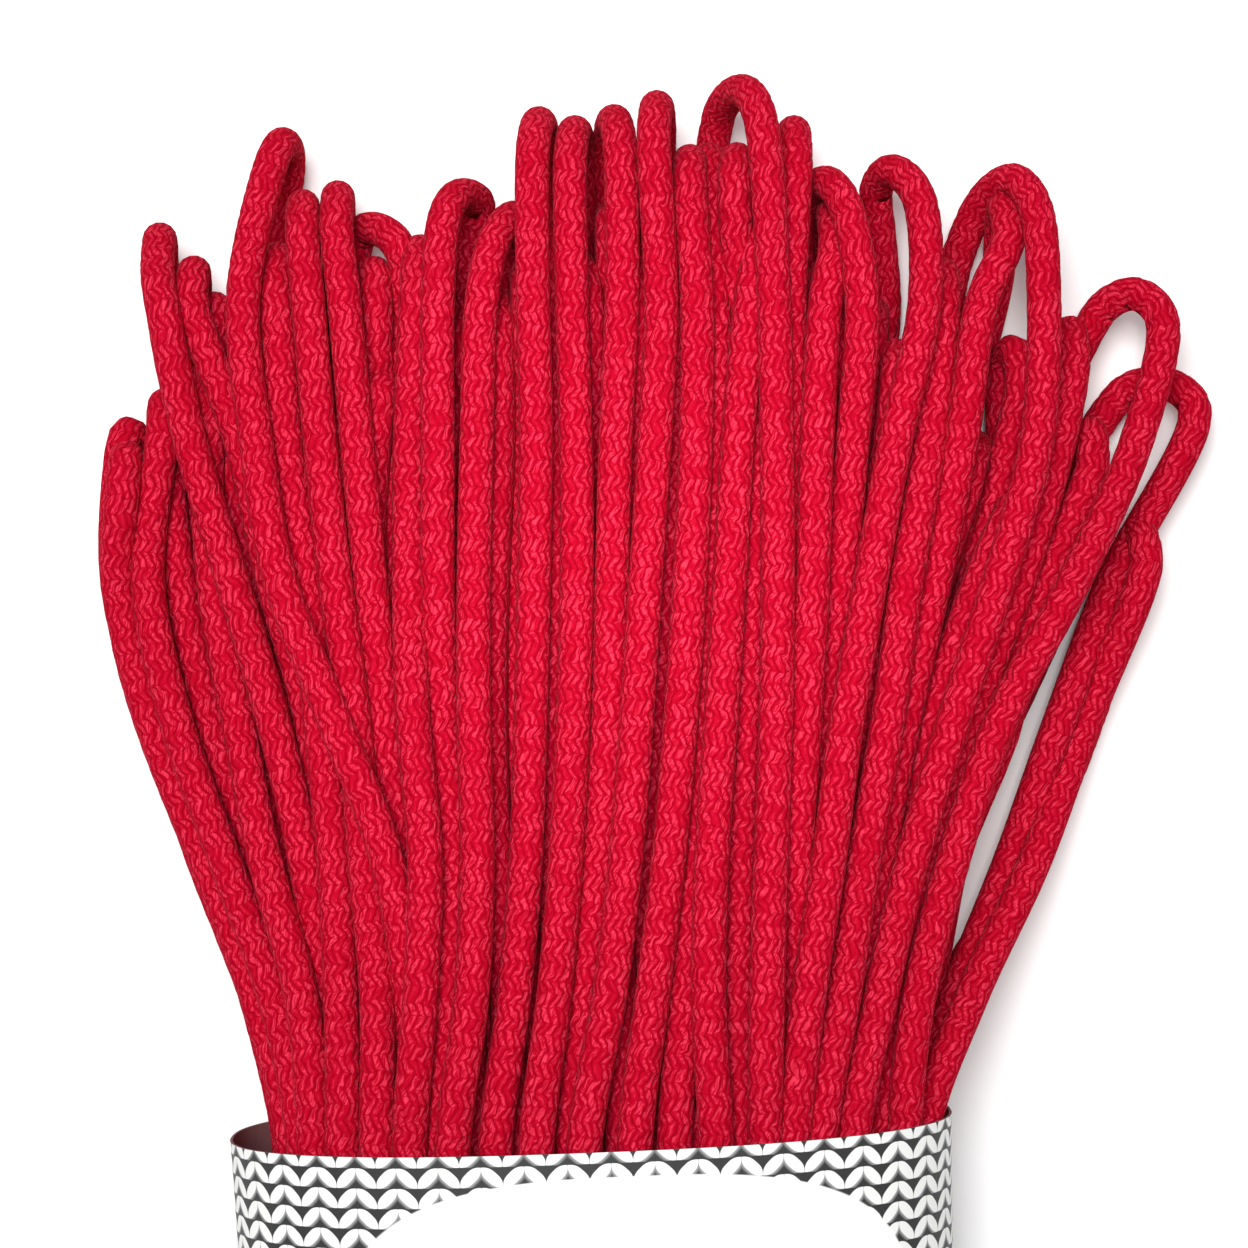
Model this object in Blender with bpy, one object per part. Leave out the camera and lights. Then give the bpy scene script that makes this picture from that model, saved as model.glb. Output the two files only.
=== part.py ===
"""A hank of red cotton cord, held at its waist by a paper band.

The hank lies on its back on a table. +X runs across it, +Y along its loops and +Z up, away from
the table. The origin is the middle of the band's flat back. Lengths are in millimetres until a
mesh is made, and in metres from there on.
"""
import math
from collections import namedtuple

import bmesh
import bpy
import numpy as np
from mathutils import Matrix

METRES_PER_MM = 0.001

# The cord and the loops that it is wound into
CORD = 5.0
CORD_R = CORD / 2
FAN_THICK_AT_CROWN = 21.0
FAN_THIN_SPAN = 135.0
FAN_SETTLE = 30.0
FAN_EDGE_LIFT = 5.0
BIGHT_LENGTH = 15.0
UNDERSIDE_FLAT = 0.5

# The paper band
BAND_HEIGHT = 56.0
BAND_HALF_WIDTH = 49.5
BAND_DEPTH = 52.0
BAND_BACK_CUT = 2.0
BAND_PAPER = 1.0
BAND_FLARE = 0.012
BAND_TURN = math.radians(2.2)
BAND_SLOPE = math.tan(BAND_TURN)
OVAL_POWER = 2.4
BAND_CLEARANCE = 0.4
RIM_MARGIN = 1.5

# Where the hank passes through the band; thickness and depth are between centre lines
WAIST_HALF_LEFT = 43.0
WAIST_HALF_RIGHT = 44.6
WAIST_THICK = BAND_DEPTH - 2 * (BAND_PAPER + BAND_CLEARANCE) - CORD
WAIST_LAST_SHARE = 0.985
WAIST_MID_Z = BAND_DEPTH / 2

# How the photograph sees the hank: straight down, from a known height over the front strands
PIXEL_MM = 0.1316
VIEW_DISTANCE = 440.0
VIEW_FRONT_Z = 50.0
VIEW_CENTRE_PX = 624.0
VIEW_CENTRE_X = 3.5
VIEW_CENTRE_Y = 97.3
ROOT_PY = 1140.0

# One row a strand, left to right, read by eye in the photograph's pixels: how far across it lies
# at the band, a third and two thirds of the way up its leg and at its crown; how far down the
# picture its crown is; and how far its back leg stands to the right of its front leg
Strand = namedtuple("Strand", "name root third two_thirds crown crown_py lean")
UPPER_RIDGES = (
    Strand("outer left", 292, 221, 139, 122, 437, 10),
    Strand("left 2", 303, 236, 156, 160, 400, 6),
    Strand("left 3", 312, 252, 186, 184, 345, 4),
    Strand("left 4", 321, 272, 215, 204, 300, 4),
    Strand("left 5", 331, 305, 262, 194, 253, 8),
    Strand("left 6", 345, 331, 298, 277, 238, 4),
    Strand("tall left", 377, 362, 329, 306, 187, 6),
    Strand("tall left 2", 394, 396, 362, 340, 178, 8),
    Strand("low middle", 411, 422, 409, 412, 232, -6),
    Strand("low middle 2", 433, 448, 439, 455, 177, 24),
    Strand("low middle 3", 454, 476, 474, 497, 203, 20),
    Strand("middle 1", 496, 529, 536, 537, 104, 8),
    Strand("middle 2", 537, 570, 577, 573, 113, 6),
    Strand("middle 3", 570, 602, 616, 612, 102, -8),
    Strand("middle 4", 592, 633, 654, 657, 88, -6),
    Strand("middle 5", 635, 675, 693, 692, 130, -4),
    Strand("middle 6", 700, 715, 731, 722, 124, -4),
    Strand("highest", 765, 773, 777, 752, 74, -20),
    Strand("right 1", 781, 800, 812, 794, 116, -12),
    Strand("right 2", 795, 816, 848, 836, 160, -24),
    Strand("right 3", 808, 837, 886, 900, 152, -26),
    Strand("right 4", 824, 868, 915, 942, 262, -16),
    Strand("right 5", 846, 893, 956, 1000, 188, -20),
    Strand("right 6", 860, 930, 1014, 1014, 161, -30),
    Strand("right 7", 880, 952, 1040, 1072, 312, -10),
    Strand("outer right", 902, 1000, 1084, 1138, 520, -12),
)

# Loops that stand free of the others, in the same columns, with how far up the leg each one
# leaves the mass and how far it stands in front of it there, in millimetres
FreeLoop = namedtuple("FreeLoop", Strand._fields + ("leaves", "proud"))
UPPER_LOOPS = (
    FreeLoop("left over", 325, 301, 217, 160, 220, 14, 0.30, 2.2),
    FreeLoop("left crossing", 412, 372, 260, 277, 125, 46, 0.16, 3.0),
    FreeLoop("right open", 902, 956, 1086, 1134, 275, -46, 0.34, 1.6),
    FreeLoop("right low open", 914, 990, 1092, 1166, 367, -40, 0.40, 1.6),
)

# The lower fan, which is out of the picture, is a plain arch of the same cord
LOWER_ROOT_HALF = 41.5
LOWER_SPREAD = 0.66
LOWER_REACH = 170.0
LOWER_ARCH_DROP = 48.0
LOWER_SPREAD_POWER = 1.2
LOWER_STAGGER = 3.6
LOWER_STAGGER_TURN = 1.9
LOWER_LEAN = 1.0

# The section of a ridge, as shares of the cord's radius, and how the outermost ones close
SHOULDER_OUT = 0.8
SHOULDER_UP = 0.6
VALLEY_SINK = 0.25
SIDE_PROUD = 0.4

# How a free loop rises out of the mass
LOOP_LEAST_SHARE = 0.5
LOOP_BURIED = 3.0
LOOP_RISE_SHARE = 0.15

# How finely the solids are cut
LEG_ROWS = 5
BIGHT_ROWS = 6
LOOP_LEG_ROWS = 6
LOOP_SIDES = 8
BAND_POINTS = 64
BAND_ROWS = 5

CORD_RED = (0.62, 0.012, 0.035, 1.0)
PAPER_WHITE = (0.80, 0.79, 0.77, 1.0)


def clear_scene():
    """Remove every object that is already there."""
    for obj in list(bpy.data.objects):
        bpy.data.objects.remove(obj, do_unlink=True)


def material(name, colour, roughness):
    """A plain Principled material."""
    mat = bpy.data.materials.new(name)
    mat.use_nodes = True
    shader = mat.node_tree.nodes["Principled BSDF"]
    shader.inputs["Base Color"].default_value = colour
    shader.inputs["Roughness"].default_value = roughness
    shader.inputs["Metallic"].default_value = 0.0
    return mat


def seen_at(px, py, z):
    """The place, across and along, of a point at height z that the photograph shows at px, py."""
    scale = PIXEL_MM * (1 + (VIEW_FRONT_Z - z) / VIEW_DISTANCE)
    x = VIEW_CENTRE_X + (np.asarray(px) - VIEW_CENTRE_PX) * scale
    y = VIEW_CENTRE_Y - (np.asarray(py) - VIEW_CENTRE_PX) * scale
    return x, y


def smooth(t):
    """A step that starts and ends level."""
    t = np.clip(t, 0.0, 1.0)
    return t * t * (3 - 2 * t)


def through_thirds(values, t):
    """The cubic curve through four values that stand at 0, a third, two thirds and 1."""
    a, b, c, d = values
    w0 = -4.5 * (t - 1 / 3) * (t - 2 / 3) * (t - 1)
    w1 = 13.5 * t * (t - 2 / 3) * (t - 1)
    w2 = -13.5 * t * (t - 1 / 3) * (t - 1)
    w3 = 4.5 * t * (t - 1 / 3) * (t - 2 / 3)
    return a * w0 + b * w1 + c * w2 + d * w3


def oval_share(x):
    """How much of the waist's full half depth is left at a distance x from its middle."""
    half = WAIST_HALF_LEFT if x < 0 else WAIST_HALF_RIGHT
    q = min(abs(x) / half, WAIST_LAST_SHARE)
    return (1 - q ** OVAL_POWER) ** (1 / OVAL_POWER)


def leg_heights(along, share):
    """Heights of the front and back legs at distances along the hank, in two arrays."""
    past_band = smooth((along - BAND_HEIGHT / 2) / FAN_SETTLE)
    thin = smooth(along / FAN_THIN_SPAN)
    thick = WAIST_THICK + (FAN_THICK_AT_CROWN - WAIST_THICK) * thin
    half = thick / 2 * share
    back_on_table = CORD_R - UNDERSIDE_FLAT + FAN_EDGE_LIFT * (1 - share) ** 2
    middle_in_fan = back_on_table + half
    middle = WAIST_MID_Z + (middle_in_fan - WAIST_MID_Z) * past_band
    return middle + half, middle - half


class Turn:
    """One turn of the cord as seen from the front: two legs and the bight that joins them."""

    def __init__(self, leg_x, crown_y, lean, share, band_slope):
        """leg_x gives how far across the front leg is at each share of the way up.

        share is how much of the waist's depth the turn spans, and band_slope is how fast the
        band's rim climbs across the hank. In the middle of the band the turn lies at middle_x
        and spans middle_share.
        """
        self.leg_x = leg_x
        self.crown_y = crown_y
        self.lean = lean
        self.share = share
        self.middle_x = leg_x(0.0)
        self.middle_share = share
        self.root_y = BAND_HEIGHT / 2 + band_slope * self.middle_x + RIM_MARGIN

    def rows(self, leg_rows, bight_rows, start_y=None):
        """Centre line up the front, over the crown and down behind.

        It starts and ends in the middle of the band, with its next row at the rim, or else at
        start_y.
        """
        bight_start = self.crown_y - BIGHT_LENGTH
        if start_y is None:
            spread = np.arange(leg_rows - 1) / (leg_rows - 1)
            leg_y = np.append(0.0, self.root_y + (bight_start - self.root_y) * spread)
        else:
            leg_y = start_y + (bight_start - start_y) * np.arange(leg_rows) / leg_rows
        turn = np.linspace(0.0, math.pi, 2 * bight_rows + 1)
        bight_y = bight_start + BIGHT_LENGTH * np.sin(turn)
        along = np.concatenate([leg_y, bight_y, leg_y[::-1]])
        round_it = np.concatenate([np.zeros(leg_rows), turn, np.full(leg_rows, math.pi)])
        in_band = smooth(1 - along / self.root_y)
        front, back = leg_heights(along, self.share + (self.middle_share - self.share) * in_band)
        height = (front + back) / 2 + (front - back) / 2 * np.cos(round_it)
        up = np.clip((along - self.root_y) / (self.crown_y - self.root_y), 0.0, 1.0)
        behind = (1 - np.cos(round_it)) / 2
        across = self.leg_x(up) + self.lean * smooth(up) * behind
        across = across + (self.middle_x - self.leg_x(0.0)) * in_band
        return np.stack([across, along, height], axis=1)


def upper_turn(strand):
    """The turn that a row of the table describes."""
    share = oval_share(float(seen_at(strand.root, ROOT_PY, WAIST_MID_Z)[0]))
    crown_z = CORD_R + FAN_THICK_AT_CROWN / 2
    crown_y = float(seen_at(0, strand.crown_py, crown_z)[1]) - CORD_R
    thirds = BAND_HEIGHT / 2 + (crown_y - BAND_HEIGHT / 2) * np.arange(4) / 3
    heights = leg_heights(thirds, share)[0]
    columns = (strand.root, strand.third, strand.two_thirds, strand.crown - strand.lean / 2)
    places = [float(seen_at(px, 0, z)[0]) for px, z in zip(columns, heights)]
    lean = strand.lean * PIXEL_MM
    return Turn(lambda up: through_thirds(places, up), crown_y, lean, share, BAND_SLOPE)


def lower_turn(index, count):
    """A turn of the plain lower fan, drawn as if it ran upwards and mirrored afterwards."""
    side = 2 * (index + 0.5) / count - 1
    root_x = LOWER_ROOT_HALF * side + BAND_SLOPE * BAND_HEIGHT / 2
    stagger = LOWER_STAGGER * math.sin(LOWER_STAGGER_TURN * index)
    crown_y = LOWER_REACH - LOWER_ARCH_DROP * side * side + stagger - CORD_R

    def leg_x(up):
        return root_x + LOWER_SPREAD * root_x * np.power(up, LOWER_SPREAD_POWER)

    lean = LOWER_LEAN * math.cos(index)
    return Turn(leg_x, crown_y, lean, oval_share(root_x), -BAND_SLOPE)


def ridge_centres():
    """Centre lines of all the ridges, as an array of ridge by row by place.

    The rows of each start at the middle of the band in front, go up over the crown and down
    behind, and then round the lower fan back to the front.
    """
    lines = []
    count = len(UPPER_RIDGES)
    for index, strand in enumerate(UPPER_RIDGES):
        upper = upper_turn(strand)
        lower = lower_turn(index, count)
        upper.middle_x = lower.middle_x = (upper.middle_x + lower.middle_x) / 2
        upper.middle_share = lower.middle_share = oval_share(upper.middle_x)
        upper_rows = upper.rows(LEG_ROWS, BIGHT_ROWS)
        lower_rows = lower.rows(LEG_ROWS, BIGHT_ROWS)
        lower_rows[:, 1] *= -1
        lines.append(np.concatenate([upper_rows[:-1], lower_rows[:0:-1]]))
    return np.array(lines)


def unit(vectors):
    """Vectors of length 1 in the same directions."""
    return vectors / np.maximum(np.linalg.norm(vectors, axis=-1, keepdims=True), 1e-9)


def ridge_columns(centres):
    """Columns of the hank's skin: a valley, two shoulders and a crest for each ridge."""
    along = unit(np.roll(centres, -1, axis=1) - np.roll(centres, 1, axis=1))
    across = np.gradient(centres, axis=0)
    across = unit(across - along * np.sum(across * along, axis=2, keepdims=True))
    outward = np.cross(across, along)
    outward = unit(outward + np.roll(outward, 1, axis=1) + np.roll(outward, -1, axis=1))
    between = unit(across[1:] + across[:-1])
    apart = np.abs(np.sum(np.diff(centres, axis=0) * between, axis=2))
    apart = np.concatenate([apart[:1], apart, apart[-1:]])
    half = np.minimum(np.minimum(apart[:-1], apart[1:]) / 2, CORD_R)[..., None]
    out = SHOULDER_OUT * half * across
    up = SHOULDER_UP * half * outward
    columns = []
    for i in range(len(centres)):
        if i > 0:
            middle = (centres[i - 1] + centres[i]) / 2
            sink = VALLEY_SINK * CORD_R * unit(outward[i - 1] + outward[i])
            columns.append(middle - sink)
        columns.append(centres[i] - out[i] + up[i])
        columns.append(centres[i] + half[i] * outward[i])
        columns.append(centres[i] + out[i] + up[i])
    return np.array(columns)


def side_seam(column, outward_x):
    """Points half way between the front and back legs of an outermost ridge, a little proud."""
    rows = len(column)
    partner = column[(rows // 2 - np.arange(rows)) % rows]
    seam = (column + partner) / 2
    seam[:, 0] += outward_x
    return seam


def hank_skin():
    """Vertices in millimetres and faces of the closed mass of the hank."""
    columns = ridge_columns(ridge_centres())
    count, rows = columns.shape[:2]
    quarter = rows // 4
    verts = list(columns.reshape(-1, 3))
    faces = []
    for j in range(count - 1):
        for k in range(rows):
            up = (k + 1) % rows
            faces.append((j * rows + k, (j + 1) * rows + k, (j + 1) * rows + up, j * rows + up))
    for j, outward_x in ((0, -SIDE_PROUD), (count - 1, SIDE_PROUD)):
        seam = side_seam(columns[j], outward_x)
        index = {}
        for k in range(-quarter + 1, quarter):
            index[k] = len(verts)
            verts.append(seam[k % rows])
        for k in range(-quarter, quarter):
            quad = [k, k + 1]
            front = [j * rows + (m % rows) for m in quad]
            back = [j * rows + ((rows // 2 - m) % rows) for m in quad]
            mid = [index.get(m) for m in quad]
            for edge in (front, back[::-1]):
                middle = mid if edge is front else mid[::-1]
                face = [edge[0], edge[1]] + [m for m in (middle[1], middle[0]) if m is not None]
                faces.append(tuple(face if j == 0 else face[::-1]))
    return np.array(verts), faces


def mesh_object(name, verts_mm, faces, mat):
    """An object whose mesh has these vertices, laid flat where it would go through the table."""
    verts = np.array(verts_mm, dtype=float)
    verts[:, 2] = np.maximum(verts[:, 2], 0.0)
    mesh = bpy.data.meshes.new(name)
    mesh.from_pydata((verts * METRES_PER_MM).tolist(), [], faces)
    mesh.update()
    shaper = bmesh.new()
    shaper.from_mesh(mesh)
    bmesh.ops.recalc_face_normals(shaper, faces=shaper.faces)
    shaper.to_mesh(mesh)
    shaper.free()
    mesh.materials.append(mat)
    obj = bpy.data.objects.new(name, mesh)
    bpy.context.scene.collection.objects.link(obj)
    return obj


def tube(centre_line):
    """Vertices and faces of a closed tube of cord along a centre line, in millimetres."""
    along = unit(np.gradient(centre_line, axis=0))
    side = unit(np.cross(along, np.array([0.0, 0.0, 1.0])) + np.array([1e-6, 0.0, 0.0]))
    for k in range(1, len(side)):
        side[k] = unit(side[k - 1] - along[k] * np.dot(side[k - 1], along[k]))
    upward = np.cross(side, along)
    turn = 2 * math.pi * np.arange(LOOP_SIDES) / LOOP_SIDES
    ring = np.cos(turn)[None, :, None] * side[:, None] + np.sin(turn)[None, :, None] * upward[:, None]
    verts = (centre_line[:, None] + CORD_R * ring).reshape(-1, 3)
    faces = []
    for k in range(len(centre_line) - 1):
        for j in range(LOOP_SIDES):
            near = k * LOOP_SIDES + j
            beside = k * LOOP_SIDES + (j + 1) % LOOP_SIDES
            faces.append((near, beside, beside + LOOP_SIDES, near + LOOP_SIDES))
    faces.append(tuple(range(LOOP_SIDES)))
    faces.append(tuple(len(verts) - LOOP_SIDES + j for j in range(LOOP_SIDES)))
    return verts, faces


def free_loop_line(loop):
    """Centre line of a loop that stands free, with both ends buried in the mass."""
    turn = upper_turn(loop)
    turn.share = max(turn.share, LOOP_LEAST_SHARE)
    start_y = turn.root_y + (turn.crown_y - turn.root_y) * loop.leaves
    line = turn.rows(LOOP_LEG_ROWS, BIGHT_ROWS, start_y)
    reach = (line[:, 1] - start_y) / (turn.crown_y - start_y)
    risen = smooth(reach / LOOP_RISE_SHARE)
    front = line[:, 2] > (line[:, 2].max() + line[:, 2].min()) / 2
    in_front = loop.proud * risen - LOOP_BURIED * (1 - risen)
    line[:, 2] += np.where(front, in_front, LOOP_BURIED * (1 - risen))
    return line


def build_hank(mat):
    """The wound cord: one mass of ridges, with the free loops joined on."""
    verts, faces = hank_skin()
    hank = mesh_object("hank", verts, faces, mat)
    for loop in UPPER_LOOPS:
        loop_verts, loop_faces = tube(free_loop_line(loop))
        cutter = mesh_object("loop " + loop.name, loop_verts, loop_faces, mat)
        cutter.hide_render = True
        cutter.display_type = "WIRE"
        join = hank.modifiers.new("join " + loop.name, "BOOLEAN")
        join.operation = "UNION"
        join.solver = "EXACT"
        join.object = cutter
    hank.data.shade_smooth()
    return hank


def band_ring(inset, along):
    """One closed ring of the band at a distance along it, inset from its outer face."""
    turn = 2 * math.pi * np.arange(BAND_POINTS) / BAND_POINTS
    half_width = BAND_HALF_WIDTH - inset
    half_depth = (BAND_DEPTH + BAND_BACK_CUT) / 2 - inset
    flare = 1 + BAND_FLARE * (2 * along / BAND_HEIGHT) ** 2
    cos, sin = np.cos(turn), np.sin(turn)
    x = half_width * flare * np.sign(cos) * np.abs(cos) ** (2 / OVAL_POWER)
    z = half_depth * np.sign(sin) * np.abs(sin) ** (2 / OVAL_POWER)
    z = np.maximum(z + (BAND_DEPTH - BAND_BACK_CUT) / 2, inset)
    return np.stack([x, np.full(BAND_POINTS, along), z], axis=1)


def build_band(mat):
    """The paper band: a flattened ring whose back lies on the table."""
    outer = np.linspace(-BAND_HEIGHT / 2, BAND_HEIGHT / 2, BAND_ROWS)
    rings = [band_ring(0.0, along) for along in outer]
    rings += [band_ring(BAND_PAPER, along) for along in outer[::-1]]
    verts = np.concatenate(rings)
    turned = np.array(Matrix.Rotation(BAND_TURN, 3, "Z"))
    verts = verts @ turned.T
    faces = []
    for k in range(len(rings)):
        after = (k + 1) % len(rings)
        for j in range(BAND_POINTS):
            beside = (j + 1) % BAND_POINTS
            faces.append((k * BAND_POINTS + j, k * BAND_POINTS + beside,
                          after * BAND_POINTS + beside, after * BAND_POINTS + j))
    band = mesh_object("band", verts, faces, mat)
    band.data.shade_smooth()
    band.data.set_sharp_from_angle(angle=math.radians(35))
    return band


def main():
    clear_scene()
    build_hank(material("cord", CORD_RED, 0.9))
    build_band(material("paper", PAPER_WHITE, 0.6))


main()
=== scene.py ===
"""The looks of a hank of braided cotton cord, held at its waist by a printed paper band.

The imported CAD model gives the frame: the hank lies on its back, with +X across it, +Y along its
loops and +Z up. Everything below is worked out in millimetres and put into meshes in metres.

The cord is one long winding. The loops that the photograph shows follow where they are seen
there. The turns inside, the legs behind and the lower fan are laid out by rule. Then the whole
cord is settled: its turns are pushed apart until most of them only touch.
"""

import logging
import math
from dataclasses import dataclass, field
from enum import Enum

import bpy
import numpy as np
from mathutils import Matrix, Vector

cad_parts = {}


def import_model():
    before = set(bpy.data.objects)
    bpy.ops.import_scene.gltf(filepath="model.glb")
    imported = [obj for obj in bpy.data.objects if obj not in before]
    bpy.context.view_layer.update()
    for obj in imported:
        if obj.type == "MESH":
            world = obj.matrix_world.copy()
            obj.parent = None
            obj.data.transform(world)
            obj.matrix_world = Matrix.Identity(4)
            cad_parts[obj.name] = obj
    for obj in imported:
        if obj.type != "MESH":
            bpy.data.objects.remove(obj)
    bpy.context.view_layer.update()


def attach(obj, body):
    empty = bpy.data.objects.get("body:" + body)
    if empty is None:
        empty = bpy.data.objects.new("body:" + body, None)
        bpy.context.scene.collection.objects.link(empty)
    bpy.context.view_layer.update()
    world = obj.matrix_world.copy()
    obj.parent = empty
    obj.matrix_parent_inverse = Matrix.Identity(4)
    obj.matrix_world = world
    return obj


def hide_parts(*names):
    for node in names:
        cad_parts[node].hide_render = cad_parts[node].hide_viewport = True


LOG = logging.getLogger("hank")
METRES_PER_MM = 0.001
UV_LAYER = "UVMap"

# The least distance in millimetres that anything is divided by
LEAST_MM = 1e-3


def smooth(t: np.ndarray) -> np.ndarray:
    """A step from 0 to 1 that starts and ends level."""
    t = np.clip(t, 0.0, 1.0)
    return t * t * (3 - 2 * t)


def unit(vectors: np.ndarray) -> np.ndarray:
    """Vectors of length 1 in the same directions."""
    return vectors / np.maximum(np.linalg.norm(vectors, axis=-1, keepdims=True), 1e-9)


def superellipse_share(q: np.ndarray, power: float) -> np.ndarray:
    """How much of a flattened oval's half depth is left at share q of its half width."""
    return (1 - np.abs(q) ** power) ** (1 / power)


def into_scene(name: str, data: bpy.types.ID) -> bpy.types.Object:
    """A new object that holds a mesh, lamp or camera, linked to the scene.

    Args:
        name: the object's name.
        data: what it holds.

    Returns:
        The object.
    """
    obj = bpy.data.objects.new(name, data)
    bpy.context.scene.collection.objects.link(obj)
    return obj


def ring_faces(rings: int, sides: int) -> np.ndarray:
    """Four-cornered faces between closed rings of points: here, above, above beside and beside.

    Args:
        rings: how many rings there are, one after another.
        sides: how many points each of them has.

    Returns:
        Point numbers, an array of rings less one by sides by four.
    """
    ring, column = np.arange(rings - 1)[:, None] * sides, np.arange(sides)
    here, beside = ring + column, ring + (column + 1) % sides
    return np.stack([here, here + sides, beside + sides, beside], axis=-1)


def corner_places(u: np.ndarray, u_beside: np.ndarray, v: np.ndarray) -> np.ndarray:
    """Texture places of the corners of the faces that ring_faces gives.

    Args:
        u: the first coordinate of each point of each ring.
        u_beside: that of the point beside it, which runs on where the ring closes.
        v: the second coordinate of each ring.

    Returns:
        An array of rings less one by sides by four by two.
    """
    v = np.broadcast_to(v[:, None], u.shape)
    corners = ((u[:-1], v[:-1]), (u[1:], v[1:]), (u_beside[1:], v[1:]), (u_beside[:-1], v[:-1]))
    return np.stack([np.stack(corner, axis=-1) for corner in corners], axis=2)


def set_texture_places(mesh: bpy.types.Mesh, uv: np.ndarray) -> None:
    """Give every face corner of a mesh its texture place."""
    layer = mesh.uv_layers.new(name=UV_LAYER)
    layer.data.foreach_set("uv", uv.ravel().astype(np.float32))


@dataclass(frozen=True)
class PhotoView:
    """How the photograph sees the hank: straight down, from a known height over the front loops."""

    pixel_mm: float = 0.1316
    distance: float = 440.0
    front_z: float = 50.0
    centre_px: float = 624.0
    centre_x: float = 3.5
    centre_y: float = 97.3
    sensor: float = 36.0

    def scale(self, z: np.ndarray) -> np.ndarray:
        """Millimetres to a pixel at height z: the scale grows evenly with the way down."""
        return self.pixel_mm * (1 + (self.front_z - z) / self.distance)

    def place(self, px: np.ndarray, py: np.ndarray, z: np.ndarray) -> tuple:
        """Where a point at height z lies that shows at px, py.

        Args:
            px: pixels across the photograph.
            py: pixels down the photograph.
            z: heights in millimetres.

        Returns:
            The x and y of each point in millimetres.
        """
        scale = self.scale(z)
        return (self.centre_x + (px - self.centre_px) * scale,
                self.centre_y - (py - self.centre_px) * scale)

    def pixel(self, points: np.ndarray) -> tuple:
        """The px and py at which points show, the other way round from place."""
        scale = self.scale(points[:, 2])
        return (self.centre_px + (points[:, 0] - self.centre_x) / scale,
                self.centre_px - (points[:, 1] - self.centre_y) / scale)

    def set_camera(self) -> None:
        """Put the scene's camera where the photograph was taken from."""
        half_width = self.centre_px * self.pixel_mm
        data = bpy.data.cameras.new("camera")
        data.sensor_width = self.sensor
        data.lens = self.sensor / 2 * self.distance / half_width
        camera = into_scene("camera", data)
        camera.location = Vector((self.centre_x, self.centre_y,
                                  self.front_z + self.distance)) * METRES_PER_MM
        bpy.context.scene.camera = camera


@dataclass(frozen=True)
class BandShape:
    """The paper band's ring: a flattened oval whose back lies on the table."""

    height: float = 56.0
    half_width: float = 49.5
    depth: float = 52.0
    back_cut: float = 2.0
    paper: float = 0.35
    flare: float = 0.012
    turn: float = math.radians(2.2)
    power: float = 2.4
    rim_room: float = 2.0
    funnel: float = 0.0017
    funnel_length: float = 17.0
    widest_share: float = 0.995

    @property
    def half_height(self) -> float:
        """Half the strip's height."""
        return self.height / 2

    @property
    def slope(self) -> float:
        """How fast the upper rim climbs across the hank."""
        return math.tan(self.turn)

    def turned(self, x: np.ndarray, y: np.ndarray, way: int = 1) -> tuple:
        """x and y turned as the band is, or turned back where way is -1."""
        c, s = math.cos(self.turn), way * math.sin(self.turn)
        return c * x - s * y, s * x + c * y

    def ring(self, angle: np.ndarray, along: np.ndarray, inset: float) -> np.ndarray:
        """Points of the ring: an oval |x/a|^p + |z/b|^p = 1, flared at its rims and turned.

        Args:
            angle: how far round each point is, in radians, from the right-hand side upwards.
            along: how far along the hank each point is, before the turn.
            inset: how far inside the outer face.

        Returns:
            An array of points in millimetres.
        """
        cos, sin = np.cos(angle), np.sin(angle)
        flare = 1 + self.flare * (along / self.half_height) ** 2
        x = (self.half_width - inset) * flare * np.sign(cos) * np.abs(cos) ** (2 / self.power)
        half_depth = (self.depth + self.back_cut) / 2 - inset
        z = half_depth * np.sign(sin) * np.abs(sin) ** (2 / self.power)
        z = np.maximum(z + (self.depth - self.back_cut) / 2, inset)
        return np.stack([*self.turned(x, along), z], axis=-1)

    def above_rim(self, points: np.ndarray) -> np.ndarray:
        """How far above the band's upper rim each point is."""
        return self.turned(points[:, 0], points[:, 1], -1)[1] - self.half_height

    def confine(self, points: np.ndarray, margin: float, hold: np.ndarray) -> np.ndarray:
        """Points drawn in to at least a margin from the band's outer face.

        Past the rims the space opens like a funnel, so that the cords leave the band smoothly.

        Args:
            points: the points in millimetres.
            margin: how far inside the outer face they have to stay.
            hold: 1 for a point that may only go up and down, 0 for a free one.

        Returns:
            The points, drawn in.
        """
        x, y = self.turned(points[:, 0], points[:, 1], -1)
        middle = (self.depth - self.back_cut) / 2
        z = points[:, 2] - middle
        past = np.maximum(np.abs(y) - self.half_height - self.rim_room, 0.0)
        wide = np.where(past < self.funnel_length, 1 + self.funnel * past ** 2, np.inf)
        half_width = (self.half_width - margin) * wide
        half_depth = ((self.depth + self.back_cut) / 2 - margin) * wide
        q = (np.abs(x / half_width) ** self.power + np.abs(z / half_depth) ** self.power)
        shrink = 1 / np.maximum(q ** (1 / self.power), 1.0)
        x = x * (shrink + (1 - shrink) * hold)
        across = np.minimum(np.abs(x / half_width), self.widest_share)
        z = np.clip(z, None, half_depth * superellipse_share(across, self.power))
        z = np.maximum(z, np.where(past > 0, -np.inf, margin - middle)) + middle
        return np.stack([*self.turned(x, y), z], axis=1)


@dataclass(frozen=True)
class Loop:
    """One turn of the cord as the photograph shows it, in the photograph's pixels.

    legs are how far across its front leg lies at each of the station heights, from the band up.
    crown_px and crown_py are the top of the loop. lean is how far its back leg stands to the
    right of its front leg. depth is how far in front of the hank's face the front leg lies, in
    millimetres, at the band, half way up and at the crown. behind are places on the back leg of a
    loop that stands open, from its crown down.
    """

    name: str
    legs: tuple
    crown_px: float
    crown_py: float
    lean: float = 0.0
    depth: tuple = (0.0, 0.0, 0.0)
    behind: tuple = ()


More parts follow.
